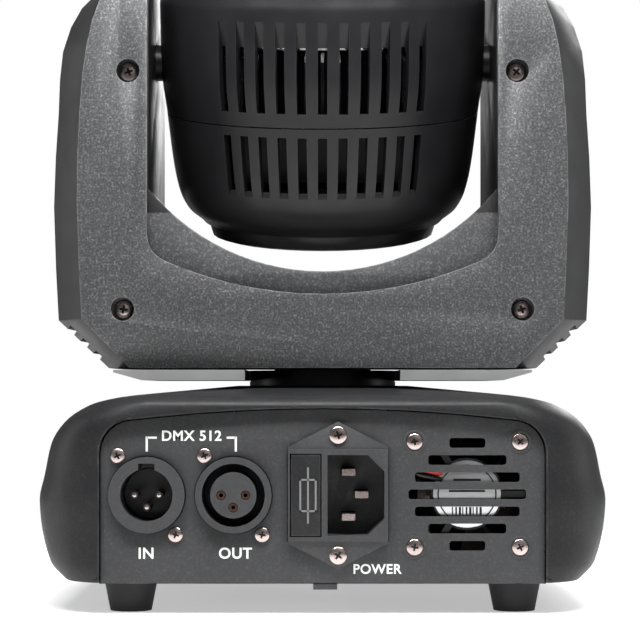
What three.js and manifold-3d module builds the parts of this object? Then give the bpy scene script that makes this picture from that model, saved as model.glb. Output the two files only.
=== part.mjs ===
// A small moving head wash light: a base, a yoke that pans on it and a head that tilts in the yoke.
// Millimetres, +Z up, the connector side towards -Y, the origin on the floor under the pan axis.
import * as THREE from "three";
import { mergeVertices } from "three/addons/utils/BufferGeometryUtils.js";
import Module from "manifold-3d";

const wasm = await Module();
wasm.setup();

// ---- General ----
const GAP = 0.3; // between pieces that touch
const RUN = 0.6; // between pieces that turn in each other
const THROUGH = 2; // how far a cutter reaches past what it cuts

// ---- Base housing ----
const BASE_WIDTH = 177;
const BASE_DEPTH = 144;
const BASE_TOP = 69.3;
const BASE_WALL = 2.7;
// Sections of the housing from its bottom edge to its top: share of its height, how far the sides
// and the ends come in, and the corner radius.
const BASE_SECTIONS = [
  [0, 9.5, 0.5, 17],
  [0.09, 4, 0, 22],
  [0.29, 0.5, 0, 27],
  [0.41, 0, 0, 27],
  [0.53, 1.5, 0, 27],
  [0.7, 4, 0, 24],
  [0.81, 8.5, 0, 20],
  [0.9, 16.5, 0.8, 18],
  [0.94, 25.8, 3.5, 16],
];
const BASE_CROWN = 28; // half size of the flat round the neck
const SHOULDER_SHARE = 0.98;
const SHOULDER_X = 12; // the shoulder stands this far out from the crown at the sides
const SHOULDER_Y = 16; // and this far at the ends
const SHOULDER_CORNER = 20;
const CORNER_STEPS = 5;
const FOOT_HEIGHT = 9.5;
const FOOT_SIDE_INSET = 29.3; // foot axis from the widest part of the housing
const FOOT_END_INSET = 17;
const FOOT_TOP_RADIUS = 8.2;
const FOOT_BOTTOM_RADIUS = 6.4;
const BASE_PLATE = 2;
const PLATE_CORNER = 15;
const RIGGING_HOLE = 5;
const RIGGING_BOSS = 10;
const RIGGING_BOSS_HEIGHT = 5;
const LUG_WIDTH = 7.3;
const LUG_DROP = 2.1;
const LUG_X = 0.8;
const LUG_LENGTH = 8;
const NECK_RADIUS = 24.2;

// ---- Panels in the base ----
const PANEL = 2;
const PANEL_RECESS = 3;
const REAR_PANEL_MARGIN = 21.2; // from its ends to the widest part of the housing
const REAR_PANEL_DROP = 7.2; // its top edge below the top of the housing
const PANEL_CORNER = 10;
const PANEL_ARCH = 3.4; // its upper edge is this much lower at the corners than in the middle
const WINDOW_CORNER = 4;
const FRONT_PANEL_HALF = 48;
const FRONT_PANEL_BOTTOM = 17;
const FRONT_PANEL_TOP = 55;
const FRONT_PANEL_LAP = 3; // behind the edge of its window
const CONNECTOR_DEPTH = 22; // behind the panel

// ---- Control connectors ----
const XLR_Z = 36.1;
const XLR_EDGE = 14; // from the end of the panel to the first connector
const XLR_PITCH = 26.3;
const XLR_RING_RADIUS = 11.6;
const XLR_RING_STAND = 2.2;
const XLR_BORE_RADIUS = 8;
const XLR_BORE_DEPTH = 14;
const XLR_KEY_WIDTH = 5;
const XLR_KEY_DEPTH = 1.6;
const XLR_PIN_CIRCLE = 3.7;
const XLR_PIN_RADIUS = 1.1;
const XLR_PIN_LENGTH = 12;
const XLR_SOCKET_BORE = 9.6;
const XLR_SOCKET_FACE = 7;
const XLR_SOCKET_HOLE = 1.5;
const XLR_SOCKET_FLOOR = 8; // thickness of the insert's foot
const XLR_HOLE_DEPTH = 10;

// ---- Mains inlet and its fuse ----
const INLET_X = 4.7;
const INLET_Z = 36.1;
const INLET_HALF_WIDTH = 15.2;
const INLET_HALF_HEIGHT = 22.3;
const INLET_SHOULDER = 14.5;
const INLET_FLANGE = 1.6;
const INLET_BODY_WIDTH = 30.2;
const INLET_BODY_HEIGHT = 27.9;
const INLET_STAND = 2.4;
const SOCKET_X = 10.1;
const SOCKET_WIDTH = 17.2;
const SOCKET_HEIGHT = 24.4;
const SOCKET_CHAMFER = 5;
const SOCKET_DEPTH = 16;
const BLADE_WIDTH = 4;
const BLADE_THICKNESS = 2;
const BLADE_LENGTH = 12;
const BLADE_OUTER_X = 7.9;
const BLADE_MIDDLE_X = 11.9;
const BLADE_SPACING = 6.8;
const BLADE_TAIL = 4; // behind the inlet
const DRAWER_X = -5.1;
const DRAWER_WIDTH = 9;
const DRAWER_HEIGHT = 24.6;
const DRAWER_DEPTH = 20;
const FUSE_RADIUS = 2.5;
const FUSE_LENGTH = 20;

// ---- Base fan and the slots in front of it ----
const FAN_EDGE = 23.4; // from the other end of the panel
const FAN_Z = 36.3;
const FAN_SIZE = 40;
const FAN_THICKNESS = 10;
const FAN_HUB_RADIUS = 11;
const FAN_CORNER = 3;
const FAN_BLADES = 7;
const FAN_BLADE = 1.4;
const FAN_BLADE_TILT = 38;
const FAN_FRAME_RIM = 1.3; // from the bore to the edge of the frame
const FAN_STRUT = 2;
const FAN_STRUTS = 3;
const SLOT_PITCH = 5.2;
const SLOT_HEIGHT = 3;
const SLOT_CORNER = 0.8;
const SLOT_LENGTHS = [10.9, 23.7, 31.8, 35.7, 31.8, 23.7, 10.9]; // a round grille, from the bottom up

// ---- Menu: display and buttons ----
const DISPLAY_X = -14;
const DISPLAY_WIDTH = 46;
const DISPLAY_HEIGHT = 24;
const DISPLAY_LENS = 1.6;
const BUTTON_X = 27;
const BUTTON_PITCH = 11.5;
const BUTTON_RADIUS = 3.6;
const BUTTON_STAND = 2;
const BUTTON_TRAVEL = 0.8;
const BUTTON_FLANGE = 1.2; // wider than the hole, so that the button can't fall out
const BUTTON_FLANGE_THICKNESS = 1.2;
const SWITCH_RADIUS = 2.4;
const BOARD = 1.6;
const MENU_DEPTH = 6; // from the back of the front panel to the board
const BOARD_MARGIN = 2;

// ---- Power supply ----
const SUPPLY_WIDTH = 46;
const SUPPLY_DEPTH = 78;
const SUPPLY_HEIGHT = 27;
const SUPPLY_EDGE = 12; // from the side of the housing
const SUPPLY_END_INSET = 22; // from the display end of the housing
const SUPPLY_SINK = 4;
const TRANSFORMER = [26, 30, 24];

// ---- Pan drive ----
const PAN_PULLEY_RADIUS = 34;
const PAN_PULLEY_BOTTOM = 52;
const PULLEY_WIDTH = 7;
const BELT_THICKNESS = 1.5;
const BELT_WIDTH = 5;
const MOTOR_PULLEY_RADIUS = 8;
const SHAFT_RADIUS = 2.5;
const PAN_MOTOR_X = -56;
const PAN_MOTOR_Y = 16;
const PAN_MOTOR_LENGTH = 38;
const MOTOR_SIZE = 42;
const MOTOR_CORNER = 5;
const SHAFT_DEPTH = 12; // in the pan motor
const CABLE_BORE = 9;
const PAN_BEARING_RADIUS = 31;
const HUB_SPIGOT = 16;
const HUB_KEY_INNER = 19.3; // two curved keys on the hub stand in notches of the tray
const HUB_KEY_SIDE = 4.3; // from the middle to their straight ends

// ---- Yoke ----
const YOKE_BOTTOM = 71;
const YOKE_HALF_DEPTH = 42;
const YOKE_PLATE = 2.5; // thickness of the flat rear and front covers
const YOKE_ARM_WIDTH = 22; // of its flat covers
const YOKE_COVER_RISE = 3.9; // lower edge of the flat covers above the tray
const YOKE_BULGE = 9; // how far the side covers stand out past the flat ones
const YOKE_BEVEL_Y = 26; // where the bevel of the side cover ends
const YOKE_ARM_RISE = 25; // above the tilt axis
const ARM_STEPS = 12;
const YOKE_WALL = 2.4;
const HEAD_CLEARANCE = 1.4; // beside the head
const YOKE_CROSSBAR = 34.5; // height of the bar under the head, at its middle
const YOKE_CHAMFER = 15.4;
// The outer edge of an arm: height from the tilt axis, and how far the flat covers and the side
// covers come in from their widest.
const ARM_EDGE = [
  [-50, 0, 0],
  [-20, 0.9, 1.5],
  [0, 3.1, 2.9],
  [14, 7.2, 9],
];
const ARM_SHOULDER_RISE = 21;
const FLAT_SHOULDER_INSET = 14;
const SIDE_SHOULDER_CLEARANCE = 1.4; // the side covers' shoulder from the frame inside
const ARM_FOOT_INSET = 1.5; // at the top of the chamfer
const ARM_TOP_DROP = 1.6; // flat covers below the side covers
const FLAT_FOOT_INSET = 16.6; // lower end of the chamfer from the widest part
const SIDE_FOOT_CLEARANCE = 1.7; // lower end of the side covers' chamfer from the frame inside
const COVER_ARC_RADIUS = 124; // edge of the flat covers under the head
const COVER_ARC_DROP = 7.3; // its lowest point under that of the trough
const COVER_CORNER = 6;
const GAP_STEPS = 7;
const TROUGH_CLEARANCE = 2.4; // under the sweep of the tail
const TROUGH_SETBACK = 0.3; // of the flat covers' edge from the trough's face
const TROUGH_RECESS = 4;
const TROUGH_WALL = 1.6;
const FRAME_SHEET = 2;
const TRAY_FLAT_HALF = 57;
const TRAY_HALF = 66;
const TRAY_SLOPE = 2.5;
const FRAME_OFFSET = 11.6; // from the gap to the outer face of the sheet
const FRAME_HALF_DEPTH = 25;
const FRAME_RISE = 6.5; // its bar above the tray's underside
const COVER_SCREW_UPPER = [5.9, -8.2]; // from the edge of the gap and the tilt axis
const COVER_SCREW_LOWER = [7.6, 18.5]; // from the edge of the gap and the bottom of the cover
const COVER_SCREW_HEAD = 2.8;
const COVER_SCREW_SHANK = 1.5;
const COVER_SCREW_RECESS = 3.75;
const COVER_SCREW_DEPTH = 5;
const COVER_SCREW_WALL = 0.55; // round the recess
const NOTCH_COUNT = 3;
const NOTCH_WIDTH = 2.7;
const NOTCH_DEPTH = 1.5;
const NOTCH_PITCH = 5.7;

// ---- Tilt drive ----
const TILT_MOTOR_DROP = 62; // motor axis below the tilt axis
const TILT_MOTOR_ROOM = 2.4; // between the motor and the side cover
const TILT_MOTOR_END = 2.3; // thickness of its closed end
const TILT_PULLEY_RADIUS = 17;
const TILT_PULLEY_WIDTH = 5;
const TILT_MOTOR_PULLEY_RADIUS = 7;
const AXLE_RADIUS = 6;
const BEARING_RADIUS = 11;
const BEARING_WIDTH = 5;
const AXLE_FLANGE_RADIUS = 11;
const FLANGE_THICKNESS = 3;

// ---- Head: heights are along its own axis, from the tilt axis towards the lenses ----
const HEAD_LEAN = 13; // degrees that the lenses lean towards the connector side at rest
const HEAD_RADIUS = 53.7;
const HEAD_WALL = 2.2;
const HEAD_SIDES = 40;
const HEAD_STEP = 24;
const HEAD_FRONT = 60;
const TAIL_END = -52.3;
const TAIL_CAP_INSET = 15.9; // from the head's radius
const TAIL_CAP_STAND = 5.2;
const CAP_ROUND = 3;
const TAIL_LEDGE = 5; // of the shell under the cap
// Outlines of the two shells: how far they come in from the head's radius, and the height.
const TAIL_OUTLINE = [
  [1.9, -16.2],
  [4, -33.8],
  [5.9, -42.3],
  [8.7, -47.7],
  [12.7, -51],
];
const BODY_OUTLINE = [
  [1.9, -15.8],
  [0.1, 0],
  [0, 20],
];
const STEP_CHAMFER = 1;
const VENT_COUNT = 11;
const VENT_PITCH = 7.2;
const VENT_WIDTH = 2.9;
const VENT_FLOOR = 1.6; // depth of the ramp where it meets the slot
const VENT_REACH = 9; // how far a cutter goes into the shell
const UPPER_VENT = [-11.5, 9];
const UPPER_RAMP = 17;
const UPPER_VENT_INSET = 0.4;
const LOWER_VENT = [-37, -19];
const LOWER_RAMP = -43.5;
const LOWER_VENT_INSET = 3.8;
const BEZEL_INSET = 2.7;
const BEZEL_WALL = 2.2;
const BEZEL_ROUND = 3;
const LENS_RIM = 6; // width of the bezel's face
const LENS_SINK = 5; // lens plate below the rim
const LENS_PLATE = 3;
const LENS_COUNT = 6; // round the one in the middle
const LENS_RADIUS = 13;
const LENS_CIRCLE = 28.5;
const LENS_DOME = 3.5;
const COLLIMATOR = 10;
const COLLIMATOR_FOOT = 4;
const EMITTER = 2.5;
const EMITTER_HEIGHT = 1;
const SINK_MARGIN = 12.7; // from the head's radius
const SINK_PLATE = 5;
const SINK_BOTTOM = 15;
const FIN = 1.6;
const SINK_FINS = 9;
const HEAD_FAN_SIZE = 60;
const HEAD_FAN_THICKNESS = 15;
const HEAD_FAN_BOTTOM = -36;
const HEAD_FAN_HUB = 15;

// ---- Worked out from the sizes above ----
const REAR_FACE = -BASE_DEPTH / 2 + PANEL_RECESS;
const REAR_PANEL_HALF = BASE_WIDTH / 2 - REAR_PANEL_MARGIN;
const REAR_PANEL_TOP = BASE_TOP - REAR_PANEL_DROP;
const FOOT_X = BASE_WIDTH / 2 - FOOT_SIDE_INSET;
const FOOT_Y = BASE_DEPTH / 2 - FOOT_END_INSET;
const XLR_IN_X = -REAR_PANEL_HALF + XLR_EDGE;
const XLR_OUT_X = XLR_IN_X + XLR_PITCH;
const FAN_X = REAR_PANEL_HALF - FAN_EDGE;
const YOKE_GAP_HALF = HEAD_RADIUS + HEAD_CLEARANCE + TROUGH_SETBACK;
const YOKE_COVER_HALF = YOKE_GAP_HALF + YOKE_ARM_WIDTH;
const YOKE_SIDE_HALF = YOKE_COVER_HALF + YOKE_BULGE;
const YOKE_COVER_BOTTOM = YOKE_BOTTOM + YOKE_COVER_RISE;
const TAIL_CAP_RADIUS = HEAD_RADIUS - TAIL_CAP_INSET;
const TAIL_CAP_END = TAIL_END - TAIL_CAP_STAND;
const TROUGH_RADIUS = Math.hypot(TAIL_CAP_END, TAIL_CAP_RADIUS) + TROUGH_CLEARANCE;
const TILT_Z = YOKE_BOTTOM + YOKE_CROSSBAR + TROUGH_RADIUS;
const YOKE_TOP = TILT_Z + YOKE_ARM_RISE;
const FRAME_HALF = YOKE_GAP_HALF + FRAME_OFFSET;
const PANEL_BACK = REAR_FACE + PANEL;
const FRONT_FACE = BASE_DEPTH / 2 - PANEL_RECESS;
const BASE_FLOOR = FOOT_HEIGHT + BASE_PLATE;
const MENU_Z = (FRONT_PANEL_BOTTOM + FRONT_PANEL_TOP) / 2;
const MENU_BOARD_Y = FRONT_FACE - PANEL - MENU_DEPTH;
const TROUGH_HALF = YOKE_GAP_HALF - TROUGH_SETBACK;
const SIDE_START = TROUGH_HALF + TROUGH_WALL + GAP;
const TILT_PULLEY_END = FRAME_HALF - FRAME_SHEET - RUN;
const FRAME_BOTTOM = YOKE_BOTTOM + FRAME_RISE;
const TRAY_TOP = YOKE_COVER_BOTTOM - 2 * GAP;
const TILT_MOTOR_Z = TILT_Z - TILT_MOTOR_DROP;
const TILT_MOTOR_START = FRAME_HALF + GAP;
const TILT_MOTOR_LENGTH = YOKE_SIDE_HALF - YOKE_WALL - TILT_MOTOR_ROOM - TILT_MOTOR_START;
const SIDE_FOOT_HALF = FRAME_HALF + SIDE_FOOT_CLEARANCE;
const SIDE_SHOULDER_HALF = FRAME_HALF + SIDE_SHOULDER_CLEARANCE;
const FLAT_FOOT_HALF = YOKE_COVER_HALF - FLAT_FOOT_INSET;
const FLAT_SHOULDER_HALF = YOKE_COVER_HALF - FLAT_SHOULDER_INSET;
const PAN_PULLEY_TOP = PAN_PULLEY_BOTTOM + PULLEY_WIDTH;
const LENS_OPENING = HEAD_RADIUS - BEZEL_INSET - LENS_RIM;
const LENS_TOP = HEAD_FRONT - LENS_SINK;
const EMITTER_Z = LENS_TOP - LENS_PLATE - COLLIMATOR - GAP;
const PLATE_Y = YOKE_HALF_DEPTH - YOKE_PLATE - GAP; // where the side covers end behind the flat ones

const group = new THREE.Group();

// ---- Finishes ----
const HOUSING = { color: 0x3a3b3e, roughness: 0.55, metalness: 0 };
const PANEL_PAINT = { color: 0x323335, roughness: 0.6, metalness: 0.1 };
const COVER_PAINT = { color: 0x6c6d70, roughness: 0.5, metalness: 0.2 };
const SIDE_PAINT = { color: 0x3c3d40, roughness: 0.45, metalness: 0 };
const HEAD_PAINT = { color: 0x28292b, roughness: 0.5, metalness: 0 };
const BLACK_PLASTIC = { color: 0x161617, roughness: 0.5, metalness: 0 };
const RUBBER = { color: 0x1d1d1e, roughness: 0.85, metalness: 0 };
const STEEL = { color: 0xb9b6b2, roughness: 0.35, metalness: 1 };
const ALUMINIUM = { color: 0xc8cacc, roughness: 0.4, metalness: 1 };
const BOARD_GREEN = { color: 0x1e5a37, roughness: 0.5, metalness: 0 };
const LENS_CLEAR = { color: 0xdfe6ea, roughness: 0.08, metalness: 0 };
const FUSE_GLASS = { color: 0xd9dcd6, roughness: 0.1, metalness: 0 };

// ---- Solids ----
function solid(geometry) {
  const bare = geometry.index ? geometry.toNonIndexed() : geometry;
  const positions = new THREE.BufferGeometry().setAttribute("position", bare.getAttribute("position"));
  const merged = mergeVertices(positions, 1e-4);
  const corners = [];
  for (let i = 0; i < merged.index.count; i += 3) {
    const [a, b, c] = merged.index.array.slice(i, i + 3);
    if (a !== b && b !== c && c !== a) corners.push(a, b, c);
  }
  const vertProperties = merged.attributes.position.array;
  const triVerts = new Uint32Array(corners);
  return new wasm.Manifold(new wasm.Mesh({ numProp: 3, vertProperties, triVerts }));
}

function join(...solids) {
  return solids.flat().reduce((a, b) => a.add(b));
}

function cut(body, ...tools) {
  return tools.flat().reduce((a, b) => a.subtract(b), body);
}

function block(x0, x1, y0, y1, z0, z1) {
  const geometry = new THREE.BoxGeometry(x1 - x0, y1 - y0, z1 - z0);
  geometry.translate((x0 + x1) / 2, (y0 + y1) / 2, (z0 + z1) / 2);
  return solid(geometry);
}

const BASES = {
  x: [[0, 1, 0], [0, 0, 1], [1, 0, 0]],
  y: [[1, 0, 0], [0, 0, 1], [0, -1, 0]],
  z: [[1, 0, 0], [0, 1, 0], [0, 0, 1]],
};

// Stands geometry that was made along +Z on another axis: along x its outline is y,z, along y it is x,z.
function turnedTo(axis, geometry) {
  const columns = BASES[axis].map((c) => new THREE.Vector3(...c));
  return geometry.applyMatrix4(new THREE.Matrix4().makeBasis(...columns));
}

function moved(axis, distance, geometry) {
  const along = { x: 0, y: 0, z: 0, [axis]: distance };
  return geometry.translate(along.x, along.y, along.z);
}

// An outline pushed along an axis from one place to another.
function pushed(axis, outline, from, to, curveSegments = 3) {
  const settings = { depth: to - from, bevelEnabled: false, curveSegments };
  const geometry = new THREE.ExtrudeGeometry(outline, settings);
  return solid(moved(axis, axis === "y" ? to : from, turnedTo(axis, geometry)));
}

// A round bar or cone along an axis; across gives its centre in the other two directions.
function rod(axis, across, from, to, radius, endRadius = radius, sides = 16) {
  const geometry = new THREE.CylinderGeometry(endRadius, radius, to - from, sides);
  geometry.rotateX(Math.PI / 2);
  geometry.translate(0, 0, (to - from) / 2);
  if (axis === "y") geometry.rotateX(Math.PI);
  turnedTo(axis, geometry);
  moved(axis, from, geometry);
  const [a, b] = across;
  if (axis === "x") geometry.translate(0, a, b);
  if (axis === "y") geometry.translate(a, 0, b);
  if (axis === "z") geometry.translate(a, b, 0);
  return solid(geometry);
}

// A ring or a disc turned about Z from a closed outline of radius and height.
function turned(points, sides = 36) {
  const outline = [...points, points[0]].map(([radius, height]) => new THREE.Vector2(radius, height));
  return solid(new THREE.LatheGeometry(outline, sides).rotateX(Math.PI / 2));
}

function ring(inner, outer, from, to, sides = 32) {
  return turned([[inner, from], [outer, from], [outer, to], [inner, to]], sides);
}

function polygon(points) {
  return new THREE.Shape(points.map(([a, b]) => new THREE.Vector2(a, b)));
}

function rounded(halfWidth, from, to, radius, x = 0) {
  const shape = new THREE.Shape();
  shape.absarc(x + halfWidth - radius, from + radius, radius, -Math.PI / 2, 0);
  shape.absarc(x + halfWidth - radius, to - radius, radius, 0, Math.PI / 2);
  shape.absarc(x - halfWidth + radius, to - radius, radius, Math.PI / 2, Math.PI);
  shape.absarc(x - halfWidth + radius, from + radius, radius, Math.PI, Math.PI * 1.5);
  return shape;
}

// A closed skin over rings of points, capped at both ends.
function loft(given) {
  const clockwise = THREE.ShapeUtils.area(capOutline(given[0])) < 0;
  const rings = clockwise ? given.map((points) => [...points].reverse()) : given;
  const count = rings[0].length;
  const corners = [];
  for (let level = 0; level + 1 < rings.length; level++) {
    for (let i = 0; i < count; i++) {
      const next = (i + 1) % count;
      const [a, b] = [rings[level][i], rings[level][next]];
      const [c, d] = [rings[level + 1][i], rings[level + 1][next]];
      corners.push(a, b, d, a, d, c);
    }
  }
  const flat = capOutline(rings[0]);
  for (const [a, b, c] of THREE.ShapeUtils.triangulateShape(flat, [])) {
    const last = rings.at(-1);
    corners.push(rings[0][c], rings[0][b], rings[0][a]);
    corners.push(last[a], last[b], last[c]);
  }
  return solid(new THREE.BufferGeometry().setFromPoints(corners));
}

// A ring as the flat outline that its cap is cut from, in the order that keeps the cap facing out.
function capOutline(ringPoints) {
  const box = new THREE.Box3().setFromPoints(ringPoints);
  const flatZ = box.max.z - box.min.z < 1e-6;
  return ringPoints.map((p) => (flatZ ? new THREE.Vector2(p.x, p.y) : new THREE.Vector2(p.z, p.x)));
}

function piece(name, made, finish, parent = group) {
  const { vertProperties, triVerts } = made.getMesh();
  const geometry = new THREE.BufferGeometry();
  geometry.setAttribute("position", new THREE.BufferAttribute(new Float32Array(vertProperties), 3));
  geometry.setIndex(new THREE.BufferAttribute(new Uint32Array(triVerts), 1));
  geometry.computeVertexNormals();
  const placed = new THREE.Mesh(geometry, new THREE.MeshStandardMaterial(finish));
  placed.name = name;
  parent.add(placed);
}

// ---- Base housing ----
function housingRing([height, halfX, halfY, radius]) {
  const points = [];
  for (const [signX, signY, start] of [[1, -1, 270], [1, 1, 0], [-1, 1, 90], [-1, -1, 180]]) {
    for (let step = 0; step <= CORNER_STEPS; step++) {
      const angle = THREE.MathUtils.degToRad(start + (90 * step) / CORNER_STEPS);
      const x = signX * (halfX - radius) + radius * Math.cos(angle);
      const y = signY * (halfY - radius) + radius * Math.sin(angle);
      points.push(new THREE.Vector3(x, y, height));
    }
  }
  return points;
}

function housingSections() {
  const sections = BASE_SECTIONS.map(([share, sideIn, endIn, radius]) => {
    const height = FOOT_HEIGHT + share * (BASE_TOP - FOOT_HEIGHT);
    return [height, BASE_WIDTH / 2 - sideIn, BASE_DEPTH / 2 - endIn, radius];
  });
  const shoulder = FOOT_HEIGHT + SHOULDER_SHARE * (BASE_TOP - FOOT_HEIGHT);
  return [
    ...sections,
    [shoulder, BASE_CROWN + SHOULDER_X, BASE_CROWN + SHOULDER_Y, SHOULDER_CORNER],
    [BASE_TOP, BASE_CROWN, BASE_CROWN, BASE_CROWN - 1],
  ];
}

// The same sections moved inwards by a wall, square to the housing's outline at each height.
function insetSections(sections, wall) {
  return sections.map(([height, halfX, halfY, radius], i) => {
    const below = sections[Math.max(i - 1, 0)];
    const above = sections[Math.min(i + 1, sections.length - 1)];
    const lean = Math.atan2(below[1] - above[1], above[0] - below[0]);
    const inwards = wall * Math.cos(lean);
    const corner = Math.max(radius - inwards, 1);
    return [height - wall * Math.sin(lean), halfX - inwards, halfY - inwards, corner];
  });
}

// Upright sides, a square lower edge, rounded upper corners and an upper edge that arches between them.
function panelOutline(half, bottom, top, corner) {
  const shape = new THREE.Shape();
  const straight = half - corner;
  const shoulder = top - PANEL_ARCH;
  const archRadius = (straight ** 2 + PANEL_ARCH ** 2) / (2 * PANEL_ARCH);
  const lean = Math.asin(straight / archRadius);
  shape.moveTo(-half, bottom);
  shape.lineTo(half, bottom);
  shape.absarc(straight, shoulder - corner, corner, 0, Math.PI / 2);
  shape.absarc(0, top - archRadius, archRadius, Math.PI / 2 - lean, Math.PI / 2 + lean);
  shape.absarc(-straight, shoulder - corner, corner, Math.PI / 2, Math.PI);
  return shape;
}

function frontWindow(margin) {
  const [bottom, top] = [FRONT_PANEL_BOTTOM - margin, FRONT_PANEL_TOP + margin];
  return rounded(FRONT_PANEL_HALF + margin, bottom, top, WINDOW_CORNER);
}

function makeHousing() {
  const outer = housingSections();
  const inner = insetSections(outer, BASE_WALL);
  inner.unshift([FOOT_HEIGHT - THROUGH, ...inner[0].slice(1)]);
  const [low, high] = [FOOT_HEIGHT - THROUGH, REAR_PANEL_TOP + GAP];
  const rearHole = panelOutline(REAR_PANEL_HALF + GAP, low, high, PANEL_CORNER);
  const shell = cut(
    loft(outer.map(housingRing)),
    loft(inner.map(housingRing)),
    pushed("y", rearHole, -BASE_DEPTH / 2 - THROUGH, PANEL_BACK + GAP),
    pushed("y", frontWindow(0), FRONT_FACE - PANEL, BASE_DEPTH / 2 + THROUGH),
    rod("z", [0, 0], BASE_TOP - 2 * BASE_WALL, BASE_TOP + THROUGH, NECK_RADIUS + RUN, undefined, 48),
  );
  piece("base_shell", shell, HOUSING);
}

function makeBasePlate() {
  const halfX = BASE_WIDTH / 2 - BASE_SECTIONS[0][1] - BASE_WALL - GAP;
  const halfY = -PANEL_BACK - GAP;
  const [left, right] = [LUG_X - LUG_WIDTH / 2, LUG_X + LUG_WIDTH / 2];
  const drop = FOOT_HEIGHT - LUG_DROP;
  const plate = join(
    pushed("z", rounded(halfX, -halfY, halfY, PLATE_CORNER), FOOT_HEIGHT, BASE_FLOOR),
    rod("z", [0, 0], FOOT_HEIGHT, BASE_FLOOR + RIGGING_BOSS_HEIGHT, RIGGING_BOSS),
    block(left, right, -halfY, -halfY + LUG_LENGTH, drop, BASE_FLOOR),
    block(left, right, REAR_FACE + GAP, -halfY + LUG_LENGTH, drop, FOOT_HEIGHT - GAP),
  );
  const [low, high] = [FOOT_HEIGHT - THROUGH, BASE_FLOOR + 2 * RIGGING_BOSS_HEIGHT];
  const hole = rod("z", [0, 0], low, high, RIGGING_HOLE);
  piece("base_plate", cut(plate, hole), STEEL);
}

function makeFeet() {
  for (const [side, x] of [["left", -FOOT_X], ["right", FOOT_X]]) {
    for (const [end, y] of [["rear", -FOOT_Y], ["front", FOOT_Y]]) {
      const foot = rod("z", [x, y], 0, FOOT_HEIGHT - GAP, FOOT_BOTTOM_RADIUS, FOOT_TOP_RADIUS, 16);
      piece(`foot_${end}_${side}`, foot, RUBBER);
    }
  }
}

// ---- Rear panel and what it holds ----
function inletBody(margin, front, back) {
  const half = INLET_BODY_WIDTH / 2 + margin;
  const halfHeight = INLET_BODY_HEIGHT / 2 + margin;
  return block(INLET_X - half, INLET_X + half, front, back, INLET_Z - halfHeight, INLET_Z + halfHeight);
}

function fanSlots() {
  const middle = (SLOT_LENGTHS.length - 1) / 2;
  return SLOT_LENGTHS.map((length, i) => {
    const z = FAN_Z + (i - middle) * SLOT_PITCH;
    const slot = rounded(length / 2, z - SLOT_HEIGHT / 2, z + SLOT_HEIGHT / 2, SLOT_CORNER, FAN_X);
    return pushed("y", slot, REAR_FACE - THROUGH, PANEL_BACK + THROUGH, 1);
  });
}

function makeRearPanel() {
  const [front, back] = [REAR_FACE - THROUGH, PANEL_BACK + THROUGH];
  const outline = panelOutline(REAR_PANEL_HALF, FOOT_HEIGHT, REAR_PANEL_TOP, PANEL_CORNER);
  const panel = cut(
    pushed("y", outline, REAR_FACE, PANEL_BACK),
    rod("y", [XLR_IN_X, XLR_Z], front, back, XLR_RING_RADIUS + GAP, undefined, 32),
    rod("y", [XLR_OUT_X, XLR_Z], front, back, XLR_RING_RADIUS + GAP, undefined, 32),
    inletBody(GAP, front, back),
    fanSlots(),
  );
  piece("rear_panel", panel, PANEL_PAINT);
}

function pinPlaces(x) {
  return [[x - XLR_PIN_CIRCLE, XLR_Z], [x + XLR_PIN_CIRCLE, XLR_Z], [x, XLR_Z - XLR_PIN_CIRCLE]];
}

function makeControlInput() {
  const at = [XLR_IN_X, XLR_Z];
  const front = REAR_FACE - XLR_RING_STAND;
  const back = REAR_FACE + CONNECTOR_DEPTH;
  const floor = front + XLR_BORE_DEPTH;
  const key = XLR_KEY_WIDTH / 2;
  const keyReach = XLR_BORE_RADIUS + XLR_KEY_DEPTH;
  const shell = cut(
    rod("y", at, front, back, XLR_RING_RADIUS, undefined, 32),
    rod("y", at, front - THROUGH, back + THROUGH, XLR_BORE_RADIUS, undefined, 32),
    block(XLR_IN_X - key, XLR_IN_X + key, front - THROUGH, floor, XLR_Z, XLR_Z + keyReach),
  );
  piece("xlr_in_shell", shell, STEEL);
  const pins = pinPlaces(XLR_IN_X).map((place) => {
    return rod("y", place, floor - XLR_PIN_LENGTH, floor + 1, XLR_PIN_RADIUS, undefined, 12);
  });
  piece("xlr_in_insert", join(rod("y", at, floor, back, XLR_BORE_RADIUS - GAP), pins), BLACK_PLASTIC);
}

function makeControlOutput() {
  const at = [XLR_OUT_X, XLR_Z];
  const front = REAR_FACE - XLR_RING_STAND;
  const back = REAR_FACE + CONNECTOR_DEPTH;
  const shell = cut(
    rod("y", at, front, back, XLR_RING_RADIUS, undefined, 32),
    rod("y", at, front - THROUGH, back + THROUGH, XLR_SOCKET_BORE, undefined, 32),
  );
  piece("xlr_out_shell", shell, STEEL);
  const holes = pinPlaces(XLR_OUT_X).map((place) => {
    return rod("y", place, front, front + XLR_HOLE_DEPTH, XLR_SOCKET_HOLE, undefined, 12);
  });
  const insert = join(
    rod("y", at, front + GAP, back, XLR_SOCKET_FACE, undefined, 32),
    rod("y", at, back - XLR_SOCKET_FLOOR, back, XLR_SOCKET_BORE - GAP, undefined, 32),
  );
  piece("xlr_out_insert", cut(insert, holes), BLACK_PLASTIC);
}

function socketOutline() {
  const [left, right] = [SOCKET_X - SOCKET_WIDTH / 2, SOCKET_X + SOCKET_WIDTH / 2];
  const [bottom, top] = [INLET_Z - SOCKET_HEIGHT / 2, INLET_Z + SOCKET_HEIGHT / 2];
  return polygon([
    [left, bottom],
    [right - SOCKET_CHAMFER, bottom],
    [right, bottom + SOCKET_CHAMFER],
    [right, top - SOCKET_CHAMFER],
    [right - SOCKET_CHAMFER, top],
    [left, top],
  ]);
}

function bladeBlock([x, z], margin, front, back) {
  const halfX = BLADE_WIDTH / 2 + margin;
  const halfZ = BLADE_THICKNESS / 2 + margin;
  return block(x - halfX, x + halfX, front, back, z - halfZ, z + halfZ);
}

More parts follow.
